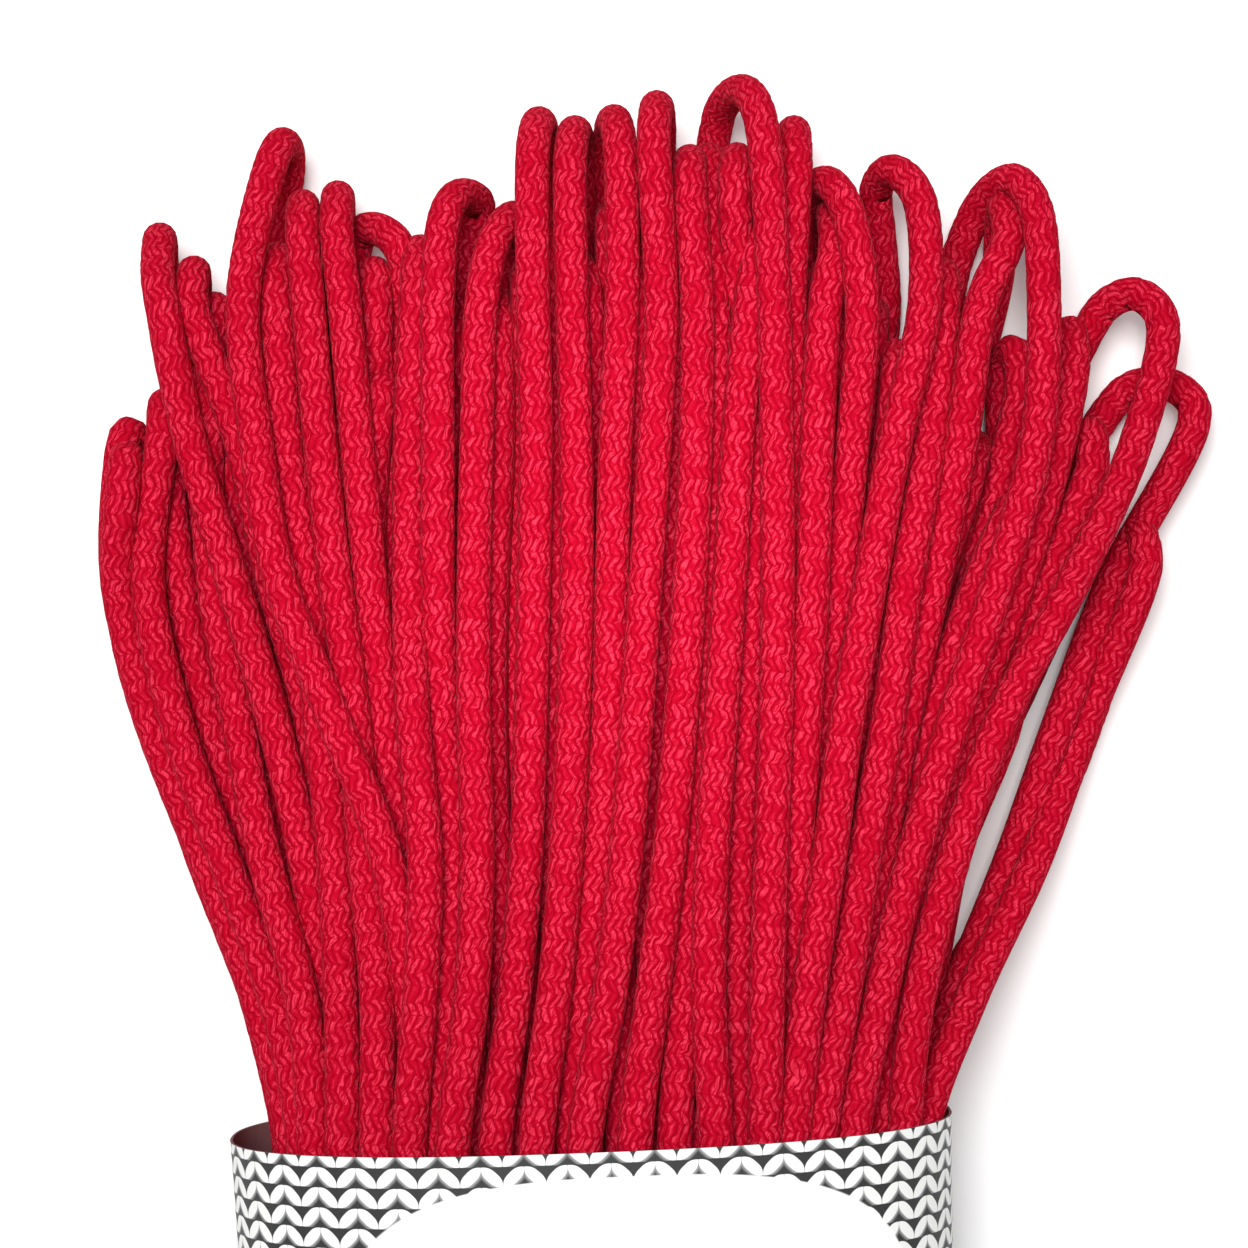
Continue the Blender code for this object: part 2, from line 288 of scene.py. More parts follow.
STATIONS_PY = (1140, 1000, 860, 720, 580, 440, 300)
LOOPS = (
    Loop("left 1", (292, 258, 206, 151, 118), 127, 437, 10),
    Loop("left 2", (300, 262, 208, 152, 117, 116), 130, 412, 24, (-5, -5, -5)),
    Loop("left 3", (303, 275, 225, 176, 148, 155), 165, 385, 6, (-3, 0, -2)),
    Loop("left 4", (308, 288, 256, 210, 180, 170), 200, 300, 4, (-4, -1, -3)),
    Loop("left 5", (314, 302, 265, 238, 213, 208), 215, 288, 4, (0, -1, -4)),
    Loop("left 6", (325, 322, 305, 273, 232, 190, 161), 160, 220, 6, (-4, 0, 4)),
    Loop("left 7", (335, 331, 322, 310, 272, 240, 198), 194, 253, 4, (-6, -5, 0)),
    Loop("left 8", (343, 341, 334, 320, 306, 286, 277), 277, 238, 2, (0, -2, -3)),
    Loop("left 9", (377, 377, 365, 354, 335, 320, 308), 303, 187, 2, (0, -2, 0)),
    Loop("left 10", (394, 396, 400, 385, 370, 357, 344), 338, 178, 4, (-4, -3, 0)),
    Loop("left 11", (410, 420, 425, 413, 409, 410, 412), 420, 232, 8, (1.5, 0, -3)),
    Loop("left over", (412, 410, 387, 334, 280, 256, 243), 282, 125, 30, (-5, 5, 2),
         ((289, 160), (281, 230), (277, 300))),
    Loop("middle 1", (440, 446, 452, 443, 438, 438, 438), 458, 177, 34, (-4, 0, 0),
         ((479, 205), (470, 250), (470, 300))),
    Loop("middle 2", (453, 471, 477, 474, 474, 477, 482), 510, 200, 40, (0, 0, -2),
         ((520, 225), (512, 270))),
    Loop("middle 3", (496, 514, 526, 531, 534, 536, 533), 539, 104, 16),
    Loop("middle 4", (537, 554, 566, 573, 577, 576, 572), 575, 113, 12),
    Loop("middle 5", (572, 583, 598, 608, 612, 616, 622), 614, 102, -16, (-4, -0.5, 0)),
    Loop("middle 6", (585, 609, 626, 637, 646, 655, 661), 657, 88, 8, (1, 1, 1)),
    Loop("middle 7", (635, 652, 669, 681, 690, 696, 697), 690, 142, 0),
    Loop("middle 8", (675, 685, 695, 702, 708, 714, 714), 709, 140, 4, (-4, -5, -6)),
    Loop("middle 9", (700, 705, 712, 720, 728, 735, 738), 737, 140, 6, (-5, -5, -5)),
    Loop("middle 10", (716, 709, 712, 721, 730, 738, 751), 760, 200, 4, (0, 0, -3)),
    Loop("middle 11", (738, 737, 740, 746, 752, 757, 762), 765, 180, 2, (-4, -4, -4)),
    Loop("highest", (765, 767, 771, 776, 778, 777, 774), 743, 72, -40, (2, 2, 2),
         ((722, 107), (714, 140), (708, 185))),
    Loop("right 1", (780, 785, 790, 792, 792, 791, 790), 794, 113, -4, (-5, -4, -2)),
    Loop("right 2", (794, 808, 829, 847, 871, 896, 925), 893, 152, -60, (1, 1, 1),
         ((876, 190), (880, 240), (884, 320))),
    Loop("right 3", (800, 800, 797, 805, 813, 817, 826), 832, 196, -8, (-4, 0, -1)),
    Loop("right 4", (812, 815, 818, 824, 840, 853, 862), 828, 164, -44, (-5, -2, 1),
         ((812, 195), (808, 250))),
    Loop("right 5", (820, 843, 864, 888, 907, 930, 940), 942, 255, -4, (0, 0, -4)),
    Loop("right 6", (850, 862, 880, 905, 935, 962, 983), 1004, 188, -10, (-5, -3, 0)),
    Loop("right 7", (853, 880, 912, 954, 999, 1037, 1044), 1013, 161, -52, (1, 1, 1),
         ((985, 198), (966, 235), (950, 290))),
    Loop("right 8", (880, 900, 930, 970, 1020, 1060), 1070, 312, -8, (-5, -3, 0)),
    Loop("right 9", (890, 912, 945, 985, 1045, 1085), 1090, 412, -6, (-5, -5, -4)),
    Loop("right open", (904, 918, 953, 1001, 1075, 1137, 1157), 1137, 275, -60, (1, 1.5, 2),
         ((1106, 305), (1086, 335), (1060, 390), (1035, 450))),
    Loop("right low open", (914, 955, 1010, 1060, 1113, 1178), 1170, 366, -60, (-2, -1, 0),
         ((1130, 388), (1105, 415), (1075, 465), (1050, 520))),
    Loop("outer right", (921, 970, 1035, 1086, 1132), 1138, 512, -20, (-1, -1, -1)),
)

# Short stretches of loops that show far back, between the crowns of those in front
BACK_LOOPS = (
    Loop("back left high", (404, 408, 410, 404, 400, 402, 406), 386, 214, -44, (-9, -9, -9),
         ((362, 232), (352, 275))),
    Loop("back left low", (366, 368, 372, 374, 376, 377, 376), 374, 252, -6, (-9, -9, -10)),
    Loop("back right", (868, 885, 905, 935, 975, 1010, 1022), 1012, 330, -24, (-9, -9, -9)),
)

# Places where the photograph sees through the loops to the table: lines from px, py to px, py,
# with half the width of the opening
SEEN_THROUGH = (
    (1068, 632, 965, 880, 6), (1128, 325, 1100, 395, 12), (1165, 405, 1128, 505, 7),
    (189, 325, 194, 360, 4), (903, 216, 903, 224, 8), (1017, 365, 1010, 385, 6),
    (1117, 430, 1113, 450, 5), (371, 246, 376, 248, 4),
)

# How far across the outermost of the turns inside lie at the station heights
INNER_LEFT = (314, 302, 268, 240, 222, 215, 215)
INNER_RIGHT = (880, 895, 915, 945, 985, 1015, 1010)

# The line over which nothing but the loops above shows, as pixels across and down
INNER_SKY = ((130, 520), (190, 430), (240, 330), (300, 270), (400, 290), (450, 260), (520, 190),
             (600, 150), (690, 175), (780, 190), (850, 240), (905, 300), (950, 340), (1000, 450),
             (1050, 540), (1080, 620))


def smooth_curve(points: np.ndarray, samples: int = 24) -> tuple:
    """A curve through all the points: on each stretch, the centripetal cubic of its neighbours.

    The knots stand apart by the root of the points' distances. Neighbours are blended in pairs,
    each by its share of the way between two knots, and so are the blends, until one is left.

    Args:
        points: the points that it passes through.
        samples: how many places to work out between one point and the next.

    Returns:
        The places on the curve, and how many points along each of them is.
    """
    ends = np.concatenate([2 * points[:1] - points[1:2], points, 2 * points[-1:] - points[-2:-1]])
    gap = np.sqrt(np.linalg.norm(np.diff(ends, axis=0), axis=1))
    knot = np.concatenate([[0.0], np.cumsum(np.maximum(gap, LEAST_MM))])
    k = np.repeat(np.arange(len(points) - 1), samples)
    share = np.tile(np.arange(samples) / samples, len(points) - 1)
    k = np.append(k, len(points) - 2)
    share = np.append(share, 1.0)
    knots = [knot[k + i][:, None] for i in range(4)]
    blend = [ends[k + i] for i in range(4)]
    t = knots[1] + (knots[2] - knots[1]) * share[:, None]
    for spans in (((0, 1), (1, 2), (2, 3)), ((0, 2), (1, 3)), ((1, 2),)):
        blend = [(knots[b] - t) / (knots[b] - knots[a]) * blend[i]
                 + (t - knots[a]) / (knots[b] - knots[a]) * blend[i + 1]
                 for i, (a, b) in enumerate(spans)]
    return blend[0], k + share


def distance_along(points: np.ndarray) -> np.ndarray:
    """How far along a line of points each one is."""
    return np.append(0.0, np.cumsum(np.linalg.norm(np.diff(points, axis=0), axis=1)))


def spaced(points: np.ndarray, columns: np.ndarray, spacing: float) -> np.ndarray:
    """Columns that go with a line of points, read again at even distances along the line.

    Args:
        points: the line's points.
        columns: the values that go with them, a column to each.
        spacing: about how far apart to read them.

    Returns:
        The columns at the new places.
    """
    along = distance_along(points)
    count = max(2, int(round(along[-1] / spacing)) + 1)
    wanted = np.linspace(0.0, along[-1], count)
    return np.stack([np.interp(wanted, along, column) for column in columns.T], axis=1)


@dataclass
class Winding:
    """The centre line of the whole cord, from one hidden end to the other."""

    view: PhotoView
    band: BandShape
    cord: float = 5.0
    inner_turns: int = 42
    waist_half_left: float = 43.0
    waist_half_right: float = 44.6
    waist_thick: float = 44.2
    waist_middle: float = 26.0
    fan_thick: float = 21.0
    fan_thin_span: float = 135.0
    fan_settle: float = 30.0
    edge_lift: float = 5.0
    widest_share: float = 0.985
    layer: float = 4.4
    bight: float = 10.5
    station_room: float = 0.7
    top_room: float = 0.6
    leg_guess_z: float = 30.0
    crown_guess_z: float = 20.0
    crown_inset: float = 5.0
    crown_share: float = 0.45
    depth_kept: float = 0.5
    over_turns: tuple = (35.0, 65.0, 90.0, 115.0, 145.0, 180.0)
    over_hidden: int = 3
    open_turns: tuple = (120.0, 180.0)
    open_lean: float = 0.08
    open_drop: float = 0.32
    open_rise: tuple = (0.75, 0.2)
    back_down: tuple = (0.8, 0.55, 0.3, 0.0)
    held_room: tuple = (0.9, 0.4)
    lower_root_half: float = 41.5
    lower_spread: float = 0.66
    lower_power: float = 1.2
    lower_reach: float = 168.0
    lower_drop: float = 48.0
    lower_stagger: float = 4.5
    lower_turns: tuple = (140.0, 115.0, 90.0, 65.0, 40.0)
    lower_rim_room: float = 1.5
    lower_lean: float = 1.5
    lower_least: float = 10.0
    lower_mix: float = 0.6
    level_thin: float = 0.18
    level_drop: float = 5.2
    least_share: float = 0.12
    wander: float = 1.6
    shown_level: float = 0.5
    back_level: float = 1.0
    inner_levels: tuple = (2, 3)
    inner_ends: tuple = (0.03, 0.97)
    inner_side: float = 0.84
    inner_step: float = 4.0
    inner_sway: float = 0.5
    inner_late: float = 60.0
    inner_drop: float = 22.0
    inner_lean: float = 8.0
    crown_row: int = 5
    spacing: float = 3.0
    seed: int = 11
    points: np.ndarray = field(default=None)
    turn_of: np.ndarray = field(default=None)
    pinned: np.ndarray = field(default=None)

    def oval(self, x: np.ndarray) -> np.ndarray:
        """How much of the waist's half depth is left at a distance x from its middle."""
        half = np.where(x < 0, self.waist_half_left, self.waist_half_right)
        return superellipse_share(np.minimum(np.abs(x) / half, self.widest_share), self.band.power)

    def heights(self, along: np.ndarray, share: float) -> tuple:
        """Heights of the front and back legs of a turn, at distances along the hank.

        The hank is thick at the waist and thins towards its crowns. Its middle line comes down
        from the middle of the band until the back legs lie on the table.

        Args:
            along: how far from the middle of the band each place is.
            share: how much of the waist's half depth is left where the turn lies.

        Returns:
            The heights of the front leg and of the back leg.
        """
        past_band = smooth((along - self.band.half_height) / self.fan_settle)
        thin = smooth(along / self.fan_thin_span)
        half = (self.waist_thick + (self.fan_thick - self.waist_thick) * thin) / 2 * share
        on_table = self.cord / 2 + self.edge_lift * (1 - share) ** 2
        middle = self.waist_middle + (on_table + half - self.waist_middle) * past_band
        return middle + half, middle - half

    def loop_points(self, loop: Loop) -> tuple:
        """Control points of a loop that the photograph shows, from the band round to the band.

        Args:
            loop: the loop's row of the table.

        Returns:
            The points in millimetres, and how many of them are held where they are seen.
        """
        legs = np.array(loop.legs, dtype=float)
        stations = np.array(STATIONS_PY[:len(legs)], dtype=float)
        share = float(self.oval(self.view.place(legs[0], stations[0], self.waist_middle)[0]))
        crown_py = loop.crown_py + self.cord / 2 / self.view.pixel_mm
        bight_px = self.bight / self.view.pixel_mm
        clear = stations > crown_py + self.station_room * bight_px
        legs, stations = legs[clear], stations[clear]
        front_px = loop.crown_px - loop.lean / 2
        rough_py = np.append(stations, crown_py + bight_px * self.top_room)
        rough_y = self.view.place(0.0, rough_py, self.leg_guess_z)[1]
        up = np.clip((rough_y - rough_y[0]) / (rough_y[-1] - rough_y[0]), 0, 1)
        depth = np.interp(up, (0, 0.5, 1), loop.depth)
        front_z = self.heights(rough_y, share)[0] + depth
        crown_y = self.view.place(0.0, crown_py, self.crown_guess_z)[1]
        high, low = self.heights(np.array([crown_y - self.crown_inset]), max(share, self.crown_share))
        high, low = high[0] + loop.depth[2] * self.depth_kept, low[0]
        middle, half = (high + low) / 2, (high - low) / 2
        px, py, z = [legs], [stations], [front_z[:-1]]
        if loop.behind:
            turns = np.radians(np.linspace(*self.open_turns, len(loop.behind)))
            behind_px, behind_py = np.array(loop.behind, dtype=float).T
            px += [[front_px + self.open_lean * loop.lean, loop.crown_px], behind_px]
            py += [[crown_py + self.open_drop * bight_px, crown_py], behind_py]
            z += [[middle + rise * half for rise in self.open_rise]]
        else:
            turns = np.radians(self.over_turns)
            px += [front_px + loop.lean * (1 - np.cos(turns)) / 2]
            py += [crown_py + bight_px * (1 - np.sin(turns))]
        z = np.concatenate(z + [middle + half * np.cos(turns)])
        x, y = self.view.place(np.concatenate(px), np.concatenate(py), z)
        top = np.stack([x, y, z], axis=1)
        held = len(top) if loop.behind else len(top) - self.over_hidden
        front = top[:len(legs)]
        back_from = top[-1]
        down = np.array(self.back_down)
        back_y = y[0] + (back_from[1] - y[0]) * down
        aside = back_from[0] - np.interp(back_from[1], front[:, 1], front[:, 0])
        back_x = np.interp(back_y, front[:, 1], front[:, 0]) + aside * smooth(down)
        sunk = self.depth_kept * np.interp(down, (0, 1), loop.depth[:2])
        back_z = self.heights(back_y, share)[1] - sunk
        back = np.stack([back_x, back_y, back_z], axis=1)
        return np.concatenate([top, back]), held

    def inner_loop(self, column: float, level: int, chance: np.random.Generator) -> Loop:
        """A turn that lies inside, spread evenly between two of the outer loops.

        Args:
            column: how far across it lies, from 0 at the left to 1 at the right.
            level: how many turns deep it lies.
            chance: where its small irregularities come from.

        Returns:
            The turn as a row like those of the table.
        """
        left, right = np.array(INNER_LEFT, dtype=float), np.array(INNER_RIGHT, dtype=float)
        sway = chance.normal(0, self.inner_step, len(left)).cumsum() * self.inner_sway
        legs = left + (right - left) * column + sway
        sky_px, sky_py = np.array(INNER_SKY, dtype=float).T
        crown_py = (np.interp(legs[self.crown_row], sky_px, sky_py)
                    + chance.uniform(0, self.inner_late) + self.inner_drop * level)
        crown_px = np.interp(crown_py, STATIONS_PY[::-1], legs[::-1])
        lean = chance.uniform(-self.inner_lean, self.inner_lean)
        return Loop("inner", tuple(legs), crown_px, crown_py, lean, (-self.layer * level,) * 3)

    def lower_points(self, back_x: float, front_x: float, side: float, level: float,
                     chance: np.random.Generator) -> np.ndarray:
        """Control points round the lower fan, from a back leg to the next turn's front leg.

        Args:
            back_x: where the back leg passes the middle of the band.
            front_x: where the next front leg passes the middle of the band.
            side: how far across the fan the turn lies, from -1 to 1.
            level: how many turns deep it lies.
            chance: where its small irregularities come from.

        Returns:
            The points in millimetres.
        """
        root = self.lower_root_half * side + self.band.slope * self.band.half_height
        share = max(float(self.oval(np.array(root))) - self.level_thin * level, self.least_share)
        crown_y = (self.lower_reach - self.lower_drop * side * side - self.level_drop * level
                   + chance.normal(0, self.lower_stagger) - self.cord / 2)
        lean = chance.normal(0, self.lower_lean)
        bow = chance.normal(0, self.wander)
        up = np.linspace(0.0, 1.0, 5)
        start = self.band.half_height + self.lower_rim_room
        leg_y = start + (crown_y - self.bight - start) * up
        reach = (leg_y - start) / (crown_y - start)
        leg_x = root * (1 + self.lower_spread * reach ** self.lower_power)
        leg_x = leg_x + bow * np.sin(math.pi * reach)
        high, low = self.heights(leg_y, share)
        turns = np.radians(self.lower_turns)
        middle, half = (high[-1] + low[-1]) / 2, max(high[-1] - low[-1], self.lower_least) / 2
        crown_x = root * (1 + self.lower_spread) + lean * (1 - np.cos(turns)) / 2
        crown = np.stack([crown_x, crown_y - self.bight * (1 - np.sin(turns)),
                          middle + half * np.cos(turns)], axis=1)
        behind = np.stack([leg_x + lean * smooth(up), leg_y, low], axis=1)
        front = np.stack([leg_x, leg_y, high], axis=1)
        for leg, passes in ((behind, back_x), (front, front_x)):
            leg[0, 0] = self.lower_mix * root + (1 - self.lower_mix) * passes
        points = np.concatenate([behind, crown, front[::-1]])
        points[:, 1] *= -1
        return points

    def lay_out(self) -> None:
        """Lay all the turns one after another and cut the line into evenly spaced points.

        The plan holds each turn's loop, how many turns deep it lies in the lower fan, and how far
        across that fan it lies.
        """
        chance = np.random.default_rng(self.seed)
        count = len(LOOPS)
        first, last = LOOPS[0].legs[0], LOOPS[-1].legs[0]
        plan = [(loop, self.shown_level * (k % 2), 2 * (k + 0.5) / count - 1)
                for k, loop in enumerate(LOOPS)]
        plan += [(loop, self.back_level, 2 * (loop.legs[0] - first) / (last - first) - 1)
                 for loop in BACK_LOOPS[::-1]]
        shown = len(plan)
        across = np.linspace(*self.inner_ends, self.inner_turns // len(self.inner_levels))
        for level in self.inner_levels:
            across = across[::-1]
            plan += [(self.inner_loop(column, level, chance), level,
                      self.inner_side * (2 * column - 1)) for column in across]
        tops = [self.loop_points(loop) for loop, _, _ in plan]
        rows = []
        for k, (top, held) in enumerate(tops):
            follows = tops[min(k + 1, len(tops) - 1)][0]
            front, back, after = (point * (1, 0, 1) for point in (top[0], top[-1], follows[0]))
            _, level, side = plan[k]
            lower = self.lower_points(back[0], after[0], side, level, chance)
            curve, place = smooth_curve(np.concatenate([[front], top, [back], lower, [after]]))
            row = spaced(curve, np.column_stack([curve, place]), self.spacing)[:-1]
            place = row[:, 3]
            seen = (place > self.held_room[0]) & (place < held + self.held_room[1]) & (k < shown)
            rows.append(np.column_stack([row[:, :3], np.full(len(row), k), seen]))
        table = np.concatenate(rows)
        self.points = table[:, :3].copy()
        self.turn_of, self.pinned = table[:, 3].astype(int), table[:, 4] > 0


@dataclass
class Settler:
    """Moves the points of the cord apart, until most of its turns only touch.

    In each round every two points that are nearer than the cord is thick are pushed apart. The
    pushes are evened out along the cord, which keeps it smooth. Points that the photograph shows
    keep their place in its view, and only go up and down.
    """

    winding: Winding
    contact: float = 4.95
    reach: float = 6.2
    rounds: int = 420
    refresh: int = 8
    stiff: int = 3
    step: float = 1.7
    home: float = 0.01
    shake: float = 0.5
    clearance: float = 0.3
    headroom: float = 1.5
    front_room: float = 5.0
    most_climb: float = 0.8
    calm: float = 1.6
    opening_push: float = 0.3
    outline_push: float = 0.6
    above_waist: float = 10.0
    tight: float = 0.9
    outline_bin: float = 10.0
    side_window: float = 16.0
    sky_window: float = 20.0
    ease: float = 6.0
    rim_ease: float = 12.0
    last_smooth: int = 3
    supple: float = 0.25
    seed: int = 5

    def near_pairs(self, points: np.ndarray) -> tuple:
        """Pairs of points within reach of each other that aren't near along the cord.

        Points are sorted into cubes as wide as the reach, and each cube is compared with itself
        and the 13 cubes on one side of it.

        Args:
            points: the cord's points.

        Returns:
            The numbers of the first and of the second point of each pair.
        """
        cube = np.floor(points / self.reach).astype(np.int64)
        cube -= cube.min(axis=0) - 1
        size = cube.max(axis=0) + 2
        key = (cube[:, 0] * size[1] + cube[:, 1]) * size[2] + cube[:, 2]
        order = np.argsort(key, kind="stable")
        sorted_key = key[order]
        shifts = [(a * size[1] + b) * size[2] + c
                  for a in (-1, 0, 1) for b in (-1, 0, 1) for c in (-1, 0, 1)]
        pairs = []
        for shift in shifts[len(shifts) // 2:]:
            start, stop = (np.searchsorted(sorted_key, key + shift, end) for end in ("left", "right"))
            count = stop - start
            first = np.repeat(np.arange(len(points)), count)
            offset = np.arange(count.sum()) - np.repeat(np.cumsum(count) - count, count)
            second = order[np.repeat(start, count) + offset]
            keep = (first < second) | (shift != 0)
            pairs.append(np.stack([first[keep], second[keep]]))
        first, second = np.concatenate(pairs, axis=1)
        close = np.linalg.norm(points[first] - points[second], axis=1) < self.reach
        close &= np.abs(first - second) > self.reach / self.winding.spacing + 2
        return first[close], second[close]

    def even_out(self, push: np.ndarray) -> np.ndarray:
        """Pushes averaged along the cord with a bell-shaped weight, e to the power of -x^2 / 2.

        Args:
            push: a row for each point of the cord.

        Returns:
            The averaged rows.
        """
        spread = np.arange(-2 * self.stiff, 2 * self.stiff + 1)
        weight = np.exp(-0.5 * (spread / self.stiff) ** 2)
        weight /= weight.sum()
        return np.stack([np.convolve(column, weight, "same") for column in push.T], axis=1)

    def pushes(self, points: np.ndarray, first: np.ndarray, second: np.ndarray,
               pinned: np.ndarray) -> np.ndarray:
        """How far each point is pushed by those too near to it, on average.

        Two points that both keep their place in the view are pushed apart in height alone, as
        far as the cord's thickness asks for: the root of contact^2 less their distance squared.

        Args:
            points: the cord's points.
            first: the first point of each near pair.
            second: the second one.
            pinned: whether each point keeps its place in the view.

        Returns:
            The push on each point in millimetres.
        """
        apart = points[second] - points[first]
        distance = np.maximum(np.linalg.norm(apart, axis=1), LEAST_MM)
        overlap = self.contact - distance
        touch = overlap > 0
        first, second, apart = first[touch], second[touch], apart[touch]
        overlap, distance = overlap[touch], distance[touch]
        move = apart * (overlap / distance / 2)[:, None]
        both = pinned[first] & pinned[second]
        flat = np.sum(apart[:, :2] ** 2, axis=1)
        wanted = np.sqrt(np.maximum(self.contact ** 2 - flat, 0.0))
        climb = (wanted - np.abs(apart[:, 2])) / 2 * np.where(apart[:, 2] < 0, -1.0, 1.0)
        move[both, :2] = 0.0
        move[both, 2] = np.clip(climb[both], -self.most_climb, self.most_climb)
        count = len(points)
        met = np.bincount(first, minlength=count) + np.bincount(second, minlength=count)
        total = np.stack([np.bincount(second, move[:, i], count)
                          - np.bincount(first, move[:, i], count) for i in range(3)], axis=1)
        return total / np.maximum(met, 1)[:, None]

    def reach_of_shown(self, place: np.ndarray, other: np.ndarray, window: float) -> tuple:
        """How far the shown loops reach in one direction, for each place in the other.

        Args:
            place: where each point is in the direction that is cut into bins, in pixels.
            other: where it is in the other direction.
            window: how far from a bin's middle a point may be to count.

        Returns:
            The middles of the bins, and the least and the greatest of the other in each.
        """
        held = self.winding.pinned
        place, other = place[held], other[held]
        bins = np.arange(place.min(), place.max(), self.outline_bin)
        near = np.abs(place[None, :] - bins[:, None]) < window
        bins, near = bins[near.any(axis=1)], near[near.any(axis=1)]
        return (bins, np.where(near, other, np.inf).min(axis=1),
                np.where(near, other, -np.inf).max(axis=1))

    def keep_off_openings(self, points: np.ndarray, free: np.ndarray) -> None:
        """Move free points out of the places where the photograph sees the table.

        Args:
            points: the cord's points, which are moved in place.
            free: whether each point may be moved.
        """
        view = self.winding.view
        radius = self.winding.cord / 2 / view.pixel_mm
        px, py = view.pixel(points)
        for x0, y0, x1, y1, half in SEEN_THROUGH:
            run_x, run_y = x1 - x0, y1 - y0
            share = np.clip(((px - x0) * run_x + (py - y0) * run_y) / (run_x ** 2 + run_y ** 2), 0, 1)
            off_x, off_y = px - x0 - share * run_x, py - y0 - share * run_y
            off = np.maximum(np.hypot(off_x, off_y), LEAST_MM)
            deep = np.where(free, np.clip(radius + half - off, 0.0, None), 0.0)
            push = deep * self.opening_push / off
            points[:, 0] += push * off_x * view.pixel_mm
            points[:, 1] -= push * off_y * view.pixel_mm

    def freedom(self) -> np.ndarray:
        """How freely each point moves across the view.

        It doesn't move where it is held, and moves more and more over the next few points, or
        where it goes into the band.

        Returns:
            A share from 0 to 1 for each point.
        """
        winding = self.winding
        held = np.nonzero(winding.pinned)[0]
        index = np.arange(len(winding.pinned))
        after = np.clip(np.searchsorted(held, index), 1, len(held) - 1)
        away = np.minimum(np.abs(index - held[after - 1]), np.abs(index - held[after]))
        out = smooth(1 + winding.band.above_rim(winding.points) / self.rim_ease)
        return 1 - (1 - smooth(away / self.ease)) * out

    def put_back(self, points: np.ndarray, seen_at: tuple, hold: np.ndarray) -> None:
        """Move held points, at their present heights, back to where the photograph shows them.

        Args:
            points: the cord's points, which are moved in place.
            seen_at: the px and py at which each point belongs.
            hold: how firmly each point is held there, from 0 to 1.
        """
        x, y = self.winding.view.place(*seen_at, points[:, 2])
        points[:, 0] += hold * (x - points[:, 0])
        points[:, 1] += hold * (y - points[:, 1])

    def run(self) -> None:
        """Settle the winding's points in place."""
        winding = self.winding
        view = winding.view
        chance = np.random.default_rng(self.seed)
        points = winding.points.copy()
        home = points.copy()
        pinned = winding.pinned
        px, py = view.pixel(points)
        hold = 1 - self.freedom()
        bins_py, left, right = self.reach_of_shown(py, px, self.side_window)
        bins_px, top, _ = self.reach_of_shown(px, py, self.sky_window)
        upper = ~pinned & (points[:, 1] > winding.band.half_height - self.above_waist)
        low = winding.cord / 2
        margin = winding.band.paper + low + self.clearance
        ceiling = winding.heights(np.abs(home[:, 1]), 1.0)[0]
        ceiling = ceiling + np.where(pinned, self.front_room, self.headroom)
        first = second = None
        for turn in range(self.rounds):
            done = turn / self.rounds
            if turn % self.refresh == 0:
                first, second = self.near_pairs(points)
            push = self.pushes(points, first, second, pinned)
            push += chance.normal(0, self.shake * max(0.0, 1 - self.calm * done), push.shape)
            points += self.step * self.even_out(push)
            moved = points - home
            points += self.supple * (self.even_out(moved) - moved) - self.home * (1 - done) * moved
            self.keep_off_openings(points, upper)
            now_px, now_py = view.pixel(points)
            side = np.clip(now_px, np.interp(now_py, bins_py, left), np.interp(now_py, bins_py, right))
            drop = np.maximum(np.interp(now_px, bins_px, top) - now_py, 0.0)
            for axis, off in ((0, side - now_px), (1, -drop)):
                move = np.clip(off * view.pixel_mm, -self.outline_push, self.outline_push)
                points[upper, axis] += move[upper]
            points[:, 2] = np.clip(points[:, 2], low, ceiling)
            self.put_back(points, (px, py), hold)
            points = winding.band.confine(points, margin, hold)
        for _ in range(self.last_smooth):
            move = self.even_out_lightly(points) - points
            points[:, :2] += (1 - hold)[:, None] * move[:, :2]
            points[:, 2] = np.maximum(points[:, 2] + move[:, 2], low)
        self.put_back(points, (px, py), hold)
        first, second = self.near_pairs(points)
        gap = np.linalg.norm(points[first] - points[second], axis=1)
        tight = self.tight * self.contact
        LOG.info("settled: %d points, nearest %.2f mm, %d of %d pairs under %.1f mm",
                 len(points), gap.min(), int((gap < tight).sum()), len(gap), tight)
        winding.points = points

    def even_out_lightly(self, points: np.ndarray) -> np.ndarray:
        """Each point moved half way to the middle of its two neighbours.

        Args:
            points: the cord's points.

        Returns:
            The moved points.
        """
        middle = (np.roll(points, 1, axis=0) + np.roll(points, -1, axis=0)) / 2
        middle[0], middle[-1] = points[0], points[-1]
        return (points + middle) / 2


@dataclass(frozen=True)
class Braid:
    """The braided surface of the cord: ridges along it that zigzag, with a crease at each turn."""

    radius: float = 2.44
    ridges: int = 14
    valley: float = 0.05
    zigzag: float = 0.46
    period: float = 3.7
    bend: float = 0.06


class Grade(Enum):
    """How finely a stretch of the cord is cut: rings to a period of the braid."""

    FINE = 4
    PLAIN = 2
    HIDDEN = 1


